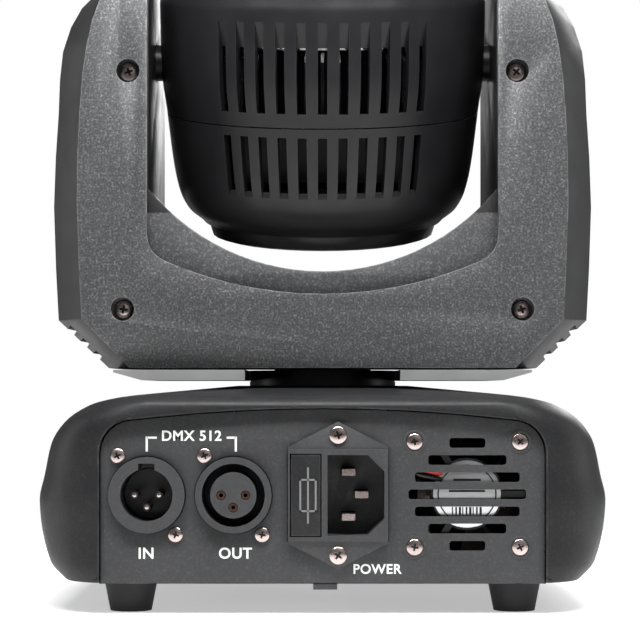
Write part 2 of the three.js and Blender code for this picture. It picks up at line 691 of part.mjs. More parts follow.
function drawerBlock(margin, front, back) {
  const half = DRAWER_WIDTH / 2 + margin;
  const halfHeight = DRAWER_HEIGHT / 2 + margin;
  return block(DRAWER_X - half, DRAWER_X + half, front, back, INLET_Z - halfHeight, INLET_Z + halfHeight);
}

const BLADES = {
  inlet_blade_live: [BLADE_OUTER_X, INLET_Z + BLADE_SPACING],
  inlet_blade_earth: [BLADE_MIDDLE_X, INLET_Z],
  inlet_blade_neutral: [BLADE_OUTER_X, INLET_Z - BLADE_SPACING],
};

function makeInlet() {
  const front = REAR_FACE - GAP - INLET_STAND;
  const back = REAR_FACE + CONNECTOR_DEPTH;
  const floor = front + SOCKET_DEPTH;
  const half = INLET_HALF_WIDTH;
  const flange = polygon([
    [INLET_X - half, INLET_Z - INLET_SHOULDER],
    [INLET_X, INLET_Z - INLET_HALF_HEIGHT],
    [INLET_X + half, INLET_Z - INLET_SHOULDER],
    [INLET_X + half, INLET_Z + INLET_SHOULDER],
    [INLET_X, INLET_Z + INLET_HALF_HEIGHT],
    [INLET_X - half, INLET_Z + INLET_SHOULDER],
  ]);
  const inlet = cut(
    join(pushed("y", flange, REAR_FACE - GAP - INLET_FLANGE, REAR_FACE - GAP), inletBody(0, front, back)),
    pushed("y", socketOutline(), front - THROUGH, floor),
    drawerBlock(GAP, front - THROUGH, front + DRAWER_DEPTH + GAP),
    Object.values(BLADES).map((place) => bladeBlock(place, GAP, floor - THROUGH, back + THROUGH)),
  );
  piece("power_inlet", inlet, BLACK_PLASTIC);
  for (const [name, place] of Object.entries(BLADES)) {
    piece(name, bladeBlock(place, 0, floor - BLADE_LENGTH, back + BLADE_TAIL), STEEL);
  }
}

function makeFuseDrawer() {
  const front = REAR_FACE - GAP - INLET_STAND;
  const fuseY = front + DRAWER_DEPTH - FUSE_RADIUS - 1;
  const halfLength = FUSE_LENGTH / 2;
  const [halfX, halfZ] = [FUSE_RADIUS + GAP, halfLength + GAP];
  const back = front + DRAWER_DEPTH;
  const [left, right] = [DRAWER_X - halfX, DRAWER_X + halfX];
  const pocket = block(left, right, fuseY - halfX, back + THROUGH, INLET_Z - halfZ, INLET_Z + halfZ);
  piece("fuse_drawer", cut(drawerBlock(0, front, back), pocket), BLACK_PLASTIC);
  const [low, high] = [INLET_Z - halfLength, INLET_Z + halfLength];
  const fuse = rod("z", [DRAWER_X, fuseY], low, high, FUSE_RADIUS, undefined, 16);
  piece("fuse", fuse, FUSE_GLASS);
}

// ---- Fans: made along +Z from their back to their face, placed by the group they go in ----
function fanBlade(angle, from, to, bottom, top) {
  const chord = (top - bottom) / Math.cos(THREE.MathUtils.degToRad(FAN_BLADE_TILT));
  const geometry = new THREE.BoxGeometry(to - from, FAN_BLADE, chord);
  geometry.rotateX(THREE.MathUtils.degToRad(FAN_BLADE_TILT));
  geometry.translate((from + to) / 2, 0, (bottom + top) / 2);
  return solid(geometry.rotateZ(angle));
}

function fanStrut(angle, length, bottom, top) {
  const geometry = new THREE.BoxGeometry(length, FAN_STRUT, top - bottom);
  geometry.translate(length / 2, 0, (bottom + top) / 2);
  return solid(geometry.rotateZ(angle));
}

function evenly(count, make) {
  return Array.from({ length: count }, (_, i) => make((i * 2 * Math.PI) / count));
}

function makeFan(name, size, thickness, hub, parent) {
  const bore = size / 2 - FAN_FRAME_RIM;
  const plate = thickness - FAN_STRUT; // the struts and the motor's plate are at the face
  const frame = cut(
    pushed("z", rounded(size / 2, -size / 2, size / 2, FAN_CORNER), 0, thickness, 3),
    rod("z", [0, 0], -THROUGH, thickness + THROUGH, bore, undefined, 32),
  );
  const struts = evenly(FAN_STRUTS, (angle) => fanStrut(angle, bore + 1, plate, thickness));
  const boss = rod("z", [0, 0], plate, thickness, hub, undefined, 24);
  piece(`${name}_frame`, join(frame, boss, struts), BLACK_PLASTIC, parent);
  const [bottom, top] = [GAP, plate - RUN];
  const blades = evenly(FAN_BLADES, (angle) => fanBlade(angle, hub - 2, bore - RUN, bottom + 1, top - 1));
  const middle = rod("z", [0, 0], bottom, top, hub - 1, undefined, 24);
  piece(`${name}_rotor`, join(middle, blades), BLACK_PLASTIC, parent);
}

function placeFans(head) {
  const base = new THREE.Group();
  base.position.set(FAN_X, PANEL_BACK + GAP + FAN_THICKNESS, FAN_Z);
  base.rotation.x = Math.PI / 2;
  group.add(base);
  makeFan("base_fan", FAN_SIZE, FAN_THICKNESS, FAN_HUB_RADIUS, base);
  const inHead = new THREE.Group();
  inHead.position.z = HEAD_FAN_BOTTOM;
  head.add(inHead);
  makeFan("head_fan", HEAD_FAN_SIZE, HEAD_FAN_THICKNESS, HEAD_FAN_HUB, inHead);
}

// ---- Menu ----
const BUTTON_PLACES = {
  button_menu: [-0.5, 0.5],
  button_up: [0.5, 0.5],
  button_down: [-0.5, -0.5],
  button_enter: [0.5, -0.5],
};

function buttonAt([acrossX, acrossZ]) {
  return [BUTTON_X + acrossX * BUTTON_PITCH, MENU_Z + acrossZ * BUTTON_PITCH];
}

function displayOutline(margin) {
  const halfHeight = DISPLAY_HEIGHT / 2 + margin;
  return rounded(DISPLAY_WIDTH / 2 + margin, MENU_Z - halfHeight, MENU_Z + halfHeight, 2, DISPLAY_X);
}

function makeMenu() {
  const back = FRONT_FACE - PANEL;
  const buttons = Object.entries(BUTTON_PLACES);
  const holes = buttons.map(([, place]) => {
    return rod("y", buttonAt(place), back - THROUGH, FRONT_FACE + THROUGH, BUTTON_RADIUS + GAP);
  });
  const panel = pushed("y", frontWindow(FRONT_PANEL_LAP), back, FRONT_FACE);
  const window = pushed("y", displayOutline(GAP), back - THROUGH, FRONT_FACE + THROUGH, 3);
  piece("front_panel", cut(panel, holes, window), PANEL_PAINT);
  const lensFace = FRONT_FACE - GAP;
  const lens = pushed("y", displayOutline(0), lensFace - DISPLAY_LENS, lensFace, 3);
  piece("display_lens", lens, BLACK_PLASTIC);

  const flangeFace = back - GAP;
  const buttonBack = flangeFace - BUTTON_FLANGE_THICKNESS;
  for (const [name, place] of buttons) {
    const at = buttonAt(place);
    const cap = rod("y", at, buttonBack, FRONT_FACE + BUTTON_STAND, BUTTON_RADIUS);
    const flange = rod("y", at, buttonBack, flangeFace, BUTTON_RADIUS + BUTTON_FLANGE);
    piece(name, join(cap, flange), BLACK_PLASTIC);
  }
  const boardFace = MENU_BOARD_Y + BOARD;
  const half = FRONT_PANEL_HALF - BOARD_MARGIN;
  const [screenLeft, screenRight] = [DISPLAY_X - DISPLAY_WIDTH / 2, DISPLAY_X + DISPLAY_WIDTH / 2];
  const [screenLow, screenHigh] = [MENU_Z - DISPLAY_HEIGHT / 2, MENU_Z + DISPLAY_HEIGHT / 2];
  const [boardBottom, boardTop] = [FRONT_PANEL_BOTTOM + BOARD_MARGIN, FRONT_PANEL_TOP - BOARD_MARGIN];
  const screenFace = lensFace - DISPLAY_LENS - GAP;
  const switchFace = buttonBack - BUTTON_TRAVEL - GAP;
  const switches = buttons.map(([, place]) => {
    return rod("y", buttonAt(place), boardFace - GAP, switchFace, SWITCH_RADIUS, undefined, 12);
  });
  const board = join(
    block(-half, half, MENU_BOARD_Y, boardFace, boardBottom, boardTop),
    block(screenLeft, screenRight, boardFace - GAP, screenFace, screenLow, screenHigh),
    switches,
  );
  piece("control_board", board, BOARD_GREEN);
}

// ---- Power supply ----
function makePowerSupply() {
  const right = BASE_WIDTH / 2 - SUPPLY_EDGE;
  const left = right - SUPPLY_WIDTH;
  const bottom = BASE_FLOOR + GAP;
  const [width, depth, height] = TRANSFORMER;
  const middle = (left + right) / 2;
  const end = BASE_DEPTH / 2 - SUPPLY_END_INSET;
  const from = end - SUPPLY_DEPTH;
  const start = from + (SUPPLY_DEPTH - depth) / 2;
  const supply = join(
    block(left, right, from, end, bottom, bottom + 2 * BOARD),
    block(middle - width / 2, middle + width / 2, start, start + depth, bottom, bottom + height),
    block(left, left + SUPPLY_SINK, from, end, bottom, bottom + SUPPLY_HEIGHT),
  );
  piece("power_supply", supply, BOARD_GREEN);
}

// ---- Pan drive ----
// The outline of a loop round two wheels: the nearer one first, each as its centre and radius.
function loopOutline([ax, ay], radiusA, [bx, by], radiusB) {
  const along = Math.atan2(by - ay, bx - ax);
  const spread = Math.acos((radiusA - radiusB) / Math.hypot(bx - ax, by - ay));
  const shape = new THREE.Shape();
  shape.absarc(ax, ay, radiusA, along + spread, along + 2 * Math.PI - spread);
  shape.absarc(bx, by, radiusB, along - spread, along + spread);
  return shape;
}

function belt(axis, wheelA, radiusA, wheelB, radiusB, from, to) {
  const reach = GAP + BELT_THICKNESS;
  const outside = loopOutline(wheelA, radiusA + reach, wheelB, radiusB + reach);
  const inside = loopOutline(wheelA, radiusA + GAP, wheelB, radiusB + GAP);
  return cut(pushed(axis, outside, from, to, 8), pushed(axis, inside, from - THROUGH, to + THROUGH, 8));
}

function makePanDrive() {
  const motorAt = [PAN_MOTOR_X, PAN_MOTOR_Y];
  const motorTop = BASE_FLOOR + GAP + PAN_MOTOR_LENGTH;
  const half = MOTOR_SIZE / 2;
  const outline = rounded(half, PAN_MOTOR_Y - half, PAN_MOTOR_Y + half, MOTOR_CORNER, PAN_MOTOR_X);
  const body = pushed("z", outline, BASE_FLOOR + GAP, motorTop, 3);
  const shaftFoot = motorTop - SHAFT_DEPTH;
  const bore = rod("z", motorAt, shaftFoot - RUN, motorTop + THROUGH, SHAFT_RADIUS + GAP);
  piece("pan_motor", cut(body, bore), STEEL);
  const wheel = rod("z", motorAt, PAN_PULLEY_BOTTOM, PAN_PULLEY_TOP, MOTOR_PULLEY_RADIUS);
  const shaft = rod("z", motorAt, shaftFoot, PAN_PULLEY_TOP, SHAFT_RADIUS, undefined, 12);
  piece("pan_motor_pulley", join(wheel, shaft), ALUMINIUM);
  const beltFrom = PAN_PULLEY_BOTTOM + (PULLEY_WIDTH - BELT_WIDTH) / 2;
  const beltTo = beltFrom + BELT_WIDTH;
  const loop = belt("z", [0, 0], PAN_PULLEY_RADIUS, motorAt, MOTOR_PULLEY_RADIUS, beltFrom, beltTo);
  piece("pan_belt", loop, BLACK_PLASTIC);
  const bearingTop = BASE_TOP - BASE_WALL - GAP;
  const bearing = ring(NECK_RADIUS + RUN, PAN_BEARING_RADIUS, PAN_PULLEY_TOP + RUN, bearingTop);
  piece("pan_bearing", bearing, STEEL);
}

function makePanHub() {
  const neckTop = YOKE_BOTTOM - GAP;
  const hub = turned([
    [CABLE_BORE, PAN_PULLEY_BOTTOM],
    [PAN_PULLEY_RADIUS, PAN_PULLEY_BOTTOM],
    [PAN_PULLEY_RADIUS, PAN_PULLEY_TOP],
    [NECK_RADIUS, PAN_PULLEY_TOP],
    [NECK_RADIUS, neckTop],
    [HUB_SPIGOT, neckTop],
    [HUB_SPIGOT, FRAME_BOTTOM - GAP],
    [CABLE_BORE, FRAME_BOTTOM - GAP],
  ]);
  const keyRing = ring(HUB_KEY_INNER, NECK_RADIUS, neckTop - 1, TRAY_TOP, 36);
  const [side, end] = [NECK_RADIUS + THROUGH, HUB_KEY_SIDE];
  const keys = cut(keyRing, block(-side, side, -end, end, neckTop - THROUGH, TRAY_TOP + THROUGH));
  piece("pan_hub", join(hub, keys), BLACK_PLASTIC);
}

// ---- Yoke ----
function makeTray() {
  const top = TRAY_TOP;
  const outline = polygon([
    [-TRAY_FLAT_HALF, YOKE_BOTTOM],
    [TRAY_FLAT_HALF, YOKE_BOTTOM],
    [TRAY_HALF, YOKE_BOTTOM + TRAY_SLOPE],
    [TRAY_HALF, top],
    [-TRAY_HALF, top],
    [-TRAY_HALF, YOKE_BOTTOM + TRAY_SLOPE],
  ]);
  const depth = YOKE_HALF_DEPTH - GAP;
  const [low, high] = [YOKE_BOTTOM - THROUGH, top + THROUGH];
  const hole = rod("z", [0, 0], low, high, HUB_SPIGOT + GAP, undefined, 40);
  const side = NECK_RADIUS + GAP;
  const [near, far] = [HUB_KEY_SIDE - GAP, depth + THROUGH];
  const middle = rod("z", [0, 0], low - 1, high + 1, HUB_KEY_INNER - GAP, undefined, 40);
  const notches = cut(
    join(block(-side, side, near, far, low, high), block(-side, side, -far, -near, low, high)),
    middle,
  );
  piece("yoke_tray", cut(pushed("y", outline, -depth, depth), hole, notches), COVER_PAINT);
}

// The outer edge of an arm from its foot up, along x to the given start at the foot and the top.
// column picks the edge of the flat covers (1) or of the side covers (2) out of ARM_EDGE.
function armEdge(column, start) {
  const half = column === 1 ? YOKE_COVER_HALF : YOKE_SIDE_HALF;
  const foot = column === 1 ? FLAT_FOOT_HALF : SIDE_FOOT_HALF;
  const shoulder = column === 1 ? FLAT_SHOULDER_HALF : SIDE_SHOULDER_HALF;
  const top = column === 1 ? YOKE_TOP - ARM_TOP_DROP : YOKE_TOP;
  const curve = new THREE.SplineCurve([
    new THREE.Vector2(half - ARM_FOOT_INSET, YOKE_COVER_BOTTOM + YOKE_CHAMFER),
    ...ARM_EDGE.map((row) => new THREE.Vector2(half - row[column], TILT_Z + row[0])),
    new THREE.Vector2(shoulder, TILT_Z + ARM_SHOULDER_RISE),
    new THREE.Vector2(start, top),
  ]);
  const lower = [[start, YOKE_COVER_BOTTOM], [foot, YOKE_COVER_BOTTOM]];
  return [...lower, ...curve.getPoints(ARM_STEPS).map((p) => [p.x, p.y])];
}

// The edge of a flat cover round the gap, from the top of the right arm to the top of the left one.
function gapEdge() {
  const low = TILT_Z - TROUGH_RADIUS - COVER_ARC_DROP;
  const centre = low + COVER_ARC_RADIUS;
  const angle = Math.asin((YOKE_GAP_HALF - COVER_CORNER) / COVER_ARC_RADIUS);
  const [radius, lowest] = [COVER_ARC_RADIUS, -Math.PI / 2];
  const arc = new THREE.EllipseCurve(0, centre, radius, radius, lowest, lowest + angle);
  const half = arc.getPoints(GAP_STEPS).map((p) => [p.x, p.y]);
  const [endX, endZ] = half.at(-1);
  const corner = new THREE.QuadraticBezierCurve(
    new THREE.Vector2(endX, endZ),
    new THREE.Vector2(YOKE_GAP_HALF, endZ + Math.tan(angle) * COVER_CORNER),
    new THREE.Vector2(YOKE_GAP_HALF, endZ + 1.5 * COVER_CORNER),
  );
  const bend = corner.getPoints(4).slice(1).map((p) => [p.x, p.y]);
  const right = [...half, ...bend, [YOKE_GAP_HALF, YOKE_TOP - ARM_TOP_DROP]];
  const left = right.slice(1).map(([x, z]) => [-x, z]);
  return [...right.reverse(), ...left];
}

function coverScrewPlaces() {
  const upper = [YOKE_GAP_HALF + COVER_SCREW_UPPER[0], TILT_Z + COVER_SCREW_UPPER[1]];
  const lower = [YOKE_GAP_HALF + COVER_SCREW_LOWER[0], YOKE_COVER_BOTTOM + COVER_SCREW_LOWER[1]];
  return [upper, lower].flatMap(([x, z]) => [[-x, z], [x, z]]);
}

function flatCover(from, to) {
  const right = armEdge(1, YOKE_GAP_HALF).slice(1, -1);
  const left = right.map(([x, z]) => [-x, z]).reverse();
  return pushed("y", polygon([...right, ...gapEdge(), ...left]), from, to);
}

function makeFlatCovers() {
  const face = -YOKE_HALF_DEPTH;
  const floor = face + COVER_SCREW_DEPTH;
  const places = coverScrewPlaces();
  const atEach = (from, to, radius, sides) => {
    return places.map((at) => rod("y", at, from, to, radius, undefined, sides));
  };
  const overlap = YOKE_PLATE / 2;
  const bosses = atEach(face + overlap, floor + overlap, COVER_SCREW_RECESS + COVER_SCREW_WALL, 16);
  const recesses = atEach(face - THROUGH, floor, COVER_SCREW_RECESS, 16);
  const holes = atEach(face, floor + THROUGH, COVER_SCREW_SHANK + GAP, 8);
  const rear = join(flatCover(face, face + YOKE_PLATE), bosses);
  piece("yoke_rear_cover", cut(rear, recesses, holes), COVER_PAINT);
  piece("yoke_front_cover", flatCover(-face - YOKE_PLATE, -face), COVER_PAINT);
  places.forEach((at, i) => {
    const seat = floor - GAP;
    const head = rod("y", at, seat - COVER_SCREW_SHANK, seat, COVER_SCREW_HEAD, undefined, 12);
    const shank = rod("y", at, seat - 1, floor + YOKE_COVER_RISE, COVER_SCREW_SHANK, undefined, 8);
    piece(`cover_screw_${i + 1}`, join(head, shank), STEEL);
  });
}

// A closed outline of x and z moved inwards by a distance, each corner along its own bisector.
function insetOutline(points, distance) {
  return points.map(([x, z], i) => {
    const [ax, az] = points[(i + points.length - 1) % points.length];
    const [bx, bz] = points[(i + 1) % points.length];
    const before = new THREE.Vector2(x - ax, z - az).normalize();
    const after = new THREE.Vector2(bx - x, bz - z).normalize();
    const normal = new THREE.Vector2(-before.y - after.y, before.x + after.x).normalize();
    const widen = distance / Math.max(normal.dot(new THREE.Vector2(-before.y, before.x)), 0.5);
    return [x + normal.x * widen, z + normal.y * widen];
  });
}

function armRings(side, levels) {
  return levels.map(([y, points]) => points.map(([x, z]) => new THREE.Vector3(side * x, y, z)));
}

function makeSideCover(name, side) {
  const flat = [...armEdge(1, SIDE_START)];
  const bulged = [...armEdge(2, SIDE_START)];
  const outer = armRings(side, [
    [-PLATE_Y, flat],
    [-YOKE_BEVEL_Y, bulged],
    [YOKE_BEVEL_Y, bulged],
    [PLATE_Y, flat],
  ]);
  // The hollow runs on past the open side and both ends.
  const hollow = (points) => insetOutline(points, YOKE_WALL).map(([x, z], i) => {
    return [i === 0 || i === points.length - 1 ? SIDE_START - THROUGH : x, z];
  });
  const [flatHollow, bulgedHollow] = [hollow(flat), hollow(bulged)];
  const inner = armRings(side, [
    [-PLATE_Y - THROUGH, flatHollow],
    [-PLATE_Y, flatHollow],
    [-YOKE_BEVEL_Y, bulgedHollow],
    [YOKE_BEVEL_Y, bulgedHollow],
    [PLATE_Y, flatHollow],
    [PLATE_Y + THROUGH, flatHollow],
  ]);
  piece(name, cut(loft(outer), loft(inner), chamferNotches(side)), SIDE_PAINT);
}

// Grooves across the chamfer at the foot of an arm, along y.
function chamferNotches(side) {
  const x = (SIDE_FOOT_HALF + YOKE_SIDE_HALF - ARM_FOOT_INSET) / 2;
  const z = YOKE_COVER_BOTTOM + YOKE_CHAMFER / 2;
  return Array.from({ length: NOTCH_COUNT }, (_, i) => {
    const geometry = new THREE.BoxGeometry(2 * NOTCH_DEPTH, 2 * YOKE_HALF_DEPTH, NOTCH_WIDTH);
    geometry.translate(0, 0, (i - (NOTCH_COUNT - 1) / 2) * NOTCH_PITCH);
    geometry.rotateY((side * Math.PI) / 4);
    return solid(geometry.translate(side * x, 0, z));
  });
}

function makeTrough() {
  const depth = YOKE_HALF_DEPTH - TROUGH_RECESS;
  const outside = TROUGH_HALF + TROUGH_WALL;
  const top = YOKE_TOP - ARM_TOP_DROP;
  const floor = TILT_Z - TROUGH_RADIUS - COVER_ARC_DROP - YOKE_PLATE;
  const arcEnd = Math.asin(TROUGH_HALF / TROUGH_RADIUS);
  const [radius, lowest] = [TROUGH_RADIUS, -Math.PI / 2];
  const arc = new THREE.EllipseCurve(0, TILT_Z, radius, radius, lowest - arcEnd, lowest + arcEnd);
  const outline = polygon([
    [-TROUGH_HALF, top],
    ...arc.getPoints(28).map((p) => [p.x, p.y]),
    [TROUGH_HALF, top],
    [outside, top],
    [outside, floor + YOKE_CHAMFER / 2],
    [outside - YOKE_CHAMFER, floor],
    [YOKE_CHAMFER - outside, floor],
    [-outside, floor + YOKE_CHAMFER / 2],
    [-outside, top],
  ]);
  const endWall = depth - TROUGH_WALL;
  const [from, to] = [-depth - THROUGH, depth + THROUGH];
  const shell = rod("y", [0, TILT_Z], from, to, TROUGH_RADIUS + TROUGH_WALL, undefined, 72);
  const under = TILT_Z - TROUGH_RADIUS * Math.cos(arcEnd);
  const reach = outside + THROUGH;
  const hollow = cut(block(-reach, reach, -endWall, endWall, floor - THROUGH, under), shell);
  const hole = rod("x", [0, TILT_Z], -reach, reach, AXLE_RADIUS + RUN);
  piece("yoke_trough", cut(pushed("y", outline, -depth, depth), hollow, hole), BLACK_PLASTIC);
}

function makeFrame() {
  const top = TILT_Z + BEARING_RADIUS + YOKE_WALL;
  const [outer, inner] = [FRAME_HALF, FRAME_HALF - FRAME_SHEET];
  const outline = polygon([
    [-outer, FRAME_BOTTOM],
    [outer, FRAME_BOTTOM],
    [outer, top],
    [inner, top],
    [inner, FRAME_BOTTOM + FRAME_SHEET],
    [-inner, FRAME_BOTTOM + FRAME_SHEET],
    [-inner, top],
    [-outer, top],
  ]);
  const frame = cut(
    pushed("y", outline, -FRAME_HALF_DEPTH, FRAME_HALF_DEPTH),
    rod("x", [0, TILT_Z], -outer - THROUGH, outer + THROUGH, BEARING_RADIUS + GAP),
    rod("x", [0, TILT_MOTOR_Z], 0, outer + THROUGH, SHAFT_RADIUS + RUN),
    rod("z", [0, 0], FRAME_BOTTOM - THROUGH, FRAME_BOTTOM + 2 * THROUGH, CABLE_BORE),
  );
  piece("yoke_frame", frame, STEEL);
}

// A ring on the tilt axis, as a rod with a hole.
function tiltRing(from, to, inner, outer) {
  const at = [0, TILT_Z];
  const bore = rod("x", at, from - THROUGH, to + THROUGH, inner);
  return cut(rod("x", at, from, to, outer, undefined, 32), bore);
}

function makeTiltDrive() {
  const motorAt = [0, TILT_MOTOR_Z];
  const half = MOTOR_SIZE / 2;
  const start = TILT_MOTOR_START;
  const shaftEnd = start + TILT_MOTOR_LENGTH - TILT_MOTOR_END;
  const outline = rounded(half, TILT_MOTOR_Z - half, TILT_MOTOR_Z + half, MOTOR_CORNER);
  const body = pushed("x", outline, start, start + TILT_MOTOR_LENGTH, 3);
  const bore = rod("x", motorAt, start - THROUGH, shaftEnd + RUN, SHAFT_RADIUS + GAP);
  piece("tilt_motor", cut(body, bore), STEEL);
  const [from, to] = [TILT_PULLEY_END - TILT_PULLEY_WIDTH, TILT_PULLEY_END];
  const shaft = rod("x", motorAt, from, shaftEnd, SHAFT_RADIUS, undefined, 12);
  const wheelRadius = TILT_MOTOR_PULLEY_RADIUS;
  piece("tilt_motor_pulley", join(rod("x", motorAt, from, to, wheelRadius), shaft), ALUMINIUM);
  const loop = belt("x", [0, TILT_Z], TILT_PULLEY_RADIUS, motorAt, wheelRadius, from + GAP, to - GAP);
  piece("tilt_belt", loop, BLACK_PLASTIC);
  const near = FRAME_HALF - FRAME_SHEET;
  const far = near + BEARING_WIDTH;
  piece("tilt_bearing_right", tiltRing(near, far, AXLE_RADIUS + GAP, BEARING_RADIUS), STEEL);
  piece("tilt_bearing_left", tiltRing(-far, -near, AXLE_RADIUS + GAP, BEARING_RADIUS), STEEL);
}

// ---- Head ----
// The axles don't lean with the head's own group: they are turned about their own axis.
function makeAxles() {
  const inside = HEAD_RADIUS - HEAD_WALL - GAP;
  const seat = Math.sqrt(inside ** 2 - AXLE_FLANGE_RADIUS ** 2) - GAP;
  const end = FRAME_HALF - FRAME_SHEET + BEARING_WIDTH;
  for (const [name, side] of [["left", -1], ["right", 1]]) {
    const along = (a, b, radius, sides) => {
      const [from, to] = side < 0 ? [-b, -a] : [a, b];
      return rod("x", [0, TILT_Z], from, to, radius, undefined, sides);
    };
    const flange = along(seat - FLANGE_THICKNESS, seat, AXLE_FLANGE_RADIUS);
    const axle = join(flange, along(seat - 1, end, AXLE_RADIUS));
    const wheel = along(TILT_PULLEY_END - TILT_PULLEY_WIDTH, TILT_PULLEY_END, TILT_PULLEY_RADIUS, 40);
    piece(`tilt_axle_${name}`, side > 0 ? join(axle, wheel) : axle, STEEL);
  }
}

// Cutters for one row of vents on both faces: open from low to high, with a ramp out to the surface.
function ventCutters([low, high], ramp, inset) {
  const surface = HEAD_RADIUS - inset;
  const [open, closed] = ramp > high ? [low, high] : [high, low];
  const outline = polygon([
    [surface - VENT_REACH, open],
    [surface - VENT_REACH, closed],
    [surface - VENT_FLOOR, closed],
    [surface + GAP, ramp],
    [surface + VENT_REACH, ramp],
    [surface + VENT_REACH, open],
  ]);
  const cutters = [];
  for (const facing of [-90, 90]) {
    for (let i = 0; i < VENT_COUNT; i++) {
      const angle = facing + (i - (VENT_COUNT - 1) / 2) * VENT_PITCH;
      const geometry = new THREE.ExtrudeGeometry(outline, { depth: VENT_WIDTH, bevelEnabled: false });
      turnedTo("y", geometry.translate(0, 0, -VENT_WIDTH / 2));
      cutters.push(solid(geometry.rotateZ(THREE.MathUtils.degToRad(angle))));
    }
  }
  return cutters;
}

// A shell from its outer outline (insets and heights, from the top down) with a wall inside it.
function shellOutline(outline, lastInner) {
  const outer = outline.map(([inset, z]) => [HEAD_RADIUS - inset, z]);
  const inner = outer.map(([radius, z], i) => {
    const [above, below] = [outer[Math.max(i - 1, 0)], outer[Math.min(i + 1, outer.length - 1)]];
    const lean = Math.atan2(above[0] - below[0], above[1] - below[1]);
    const rise = i === 0 || i === outer.length - 1 ? 0 : HEAD_WALL * Math.sin(lean);
    return [radius - HEAD_WALL * Math.cos(lean), z + rise];
  });
  return [...outer, ...lastInner, ...inner.reverse()];
}

function makeTail(head) {
  const hole = TAIL_CAP_RADIUS - TAIL_LEDGE;
  const rim = TAIL_CAP_RADIUS + 2;
  const inner = shellOutline(TAIL_OUTLINE, []);
  const outerCount = TAIL_OUTLINE.length;
  const floor = [[rim, TAIL_END], [hole, TAIL_END], [hole, TAIL_END + HEAD_WALL]];
  const outline = [...inner.slice(0, outerCount), ...floor, ...inner.slice(outerCount + 1)];
  const vents = ventCutters(LOWER_VENT, LOWER_RAMP, LOWER_VENT_INSET);
  piece("head_tail_shell", cut(turned(outline.reverse(), HEAD_SIDES), vents), HEAD_PAINT, head);
  const [radius, end] = [TAIL_CAP_RADIUS, TAIL_CAP_END];
  const cap = turned([
    [0, end],
    [radius - CAP_ROUND, end],
    [radius - CAP_ROUND / 4, end + CAP_ROUND / 4],
    [radius, end + CAP_ROUND],
    [radius, TAIL_END - GAP],
    [hole - GAP, TAIL_END - GAP],
    [hole - GAP, TAIL_END + HEAD_WALL],
    [0, TAIL_END + HEAD_WALL],
  ]);
  piece("tail_cap", cap, BLACK_PLASTIC, head);
}

function makeBody(head) {
  const outer = [...BODY_OUTLINE].reverse();
  const outline = shellOutline([[STEP_CHAMFER, HEAD_STEP], ...outer], []);
  const bore = rod("x", [0, 0], -HEAD_RADIUS - THROUGH, HEAD_RADIUS + THROUGH, AXLE_RADIUS + GAP);
  const vents = ventCutters(UPPER_VENT, UPPER_RAMP, UPPER_VENT_INSET);
  const shell = cut(turned(outline.reverse(), HEAD_SIDES), bore, vents);
  piece("head_body_shell", shell, HEAD_PAINT, head);
}

function makeBezel(head) {
  const outside = HEAD_RADIUS - BEZEL_INSET;
  const inside = outside - BEZEL_WALL;
  const ledge = LENS_TOP - LENS_PLATE - GAP;
  const bezel = turned([
    [inside, HEAD_STEP + GAP],
    [outside, HEAD_STEP + GAP],
    [outside, HEAD_FRONT - BEZEL_ROUND],
    [outside - BEZEL_ROUND / 3, HEAD_FRONT - BEZEL_ROUND / 3],
    [outside - BEZEL_ROUND, HEAD_FRONT],
    [LENS_OPENING + STEP_CHAMFER, HEAD_FRONT],
    [LENS_OPENING, HEAD_FRONT - STEP_CHAMFER],
    [LENS_OPENING, ledge],
    [inside, ledge],
  ]);
  piece("front_bezel", bezel, HEAD_PAINT, head);
}

function lensPlaces() {
  const round = (angle) => [LENS_CIRCLE * Math.cos(angle), LENS_CIRCLE * Math.sin(angle)];
  return [[0, 0], ...evenly(LENS_COUNT, round)];
}

// A shallow dome on a disc: a cap of the sphere that passes through its rim.
function dome([x, y], radius, height, z) {
  const steps = 2;
  const sphere = (radius ** 2 + height ** 2) / (2 * height);
  const widest = Math.asin(radius / sphere);
  const outline = [[0, z - 1], [radius, z - 1]];
  for (let i = steps; i >= 0; i--) {
    const angle = (widest * i) / steps;
    outline.push([sphere * Math.sin(angle), z + height - sphere + sphere * Math.cos(angle)]);
  }
  const points = [...outline, outline[0]].map(([r, h]) => new THREE.Vector2(r, h));
  return solid(new THREE.LatheGeometry(points, 16).rotateX(Math.PI / 2).translate(x, y, 0));
}

function makeOptics(head) {
  const bottom = LENS_TOP - LENS_PLATE;
  const radius = LENS_OPENING - GAP;
  const lenses = lensPlaces().flatMap((at) => [
    dome(at, LENS_RADIUS, LENS_DOME, LENS_TOP),
    rod("z", at, bottom - COLLIMATOR, bottom + 1, COLLIMATOR_FOOT, LENS_RADIUS, 12),
  ]);
  const plate = rod("z", [0, 0], bottom, LENS_TOP, radius, undefined, 40);
  piece("lens_plate", join(plate, lenses), LENS_CLEAR, head);
  const boardTop = EMITTER_Z - EMITTER_HEIGHT - GAP;
  const boardRadius = HEAD_RADIUS - SINK_MARGIN;
  const [low, high] = [boardTop - GAP, boardTop + EMITTER_HEIGHT];
  const emitters = lensPlaces().map(([x, y]) => {
    return block(x - EMITTER, x + EMITTER, y - EMITTER, y + EMITTER, low, high);
  });
  const board = join(rod("z", [0, 0], boardTop - BOARD, boardTop, boardRadius, undefined, 32), emitters);
  piece("led_board", board, BOARD_GREEN, head);
  makeHeatSink(head, boardRadius, boardTop - BOARD - GAP);
}

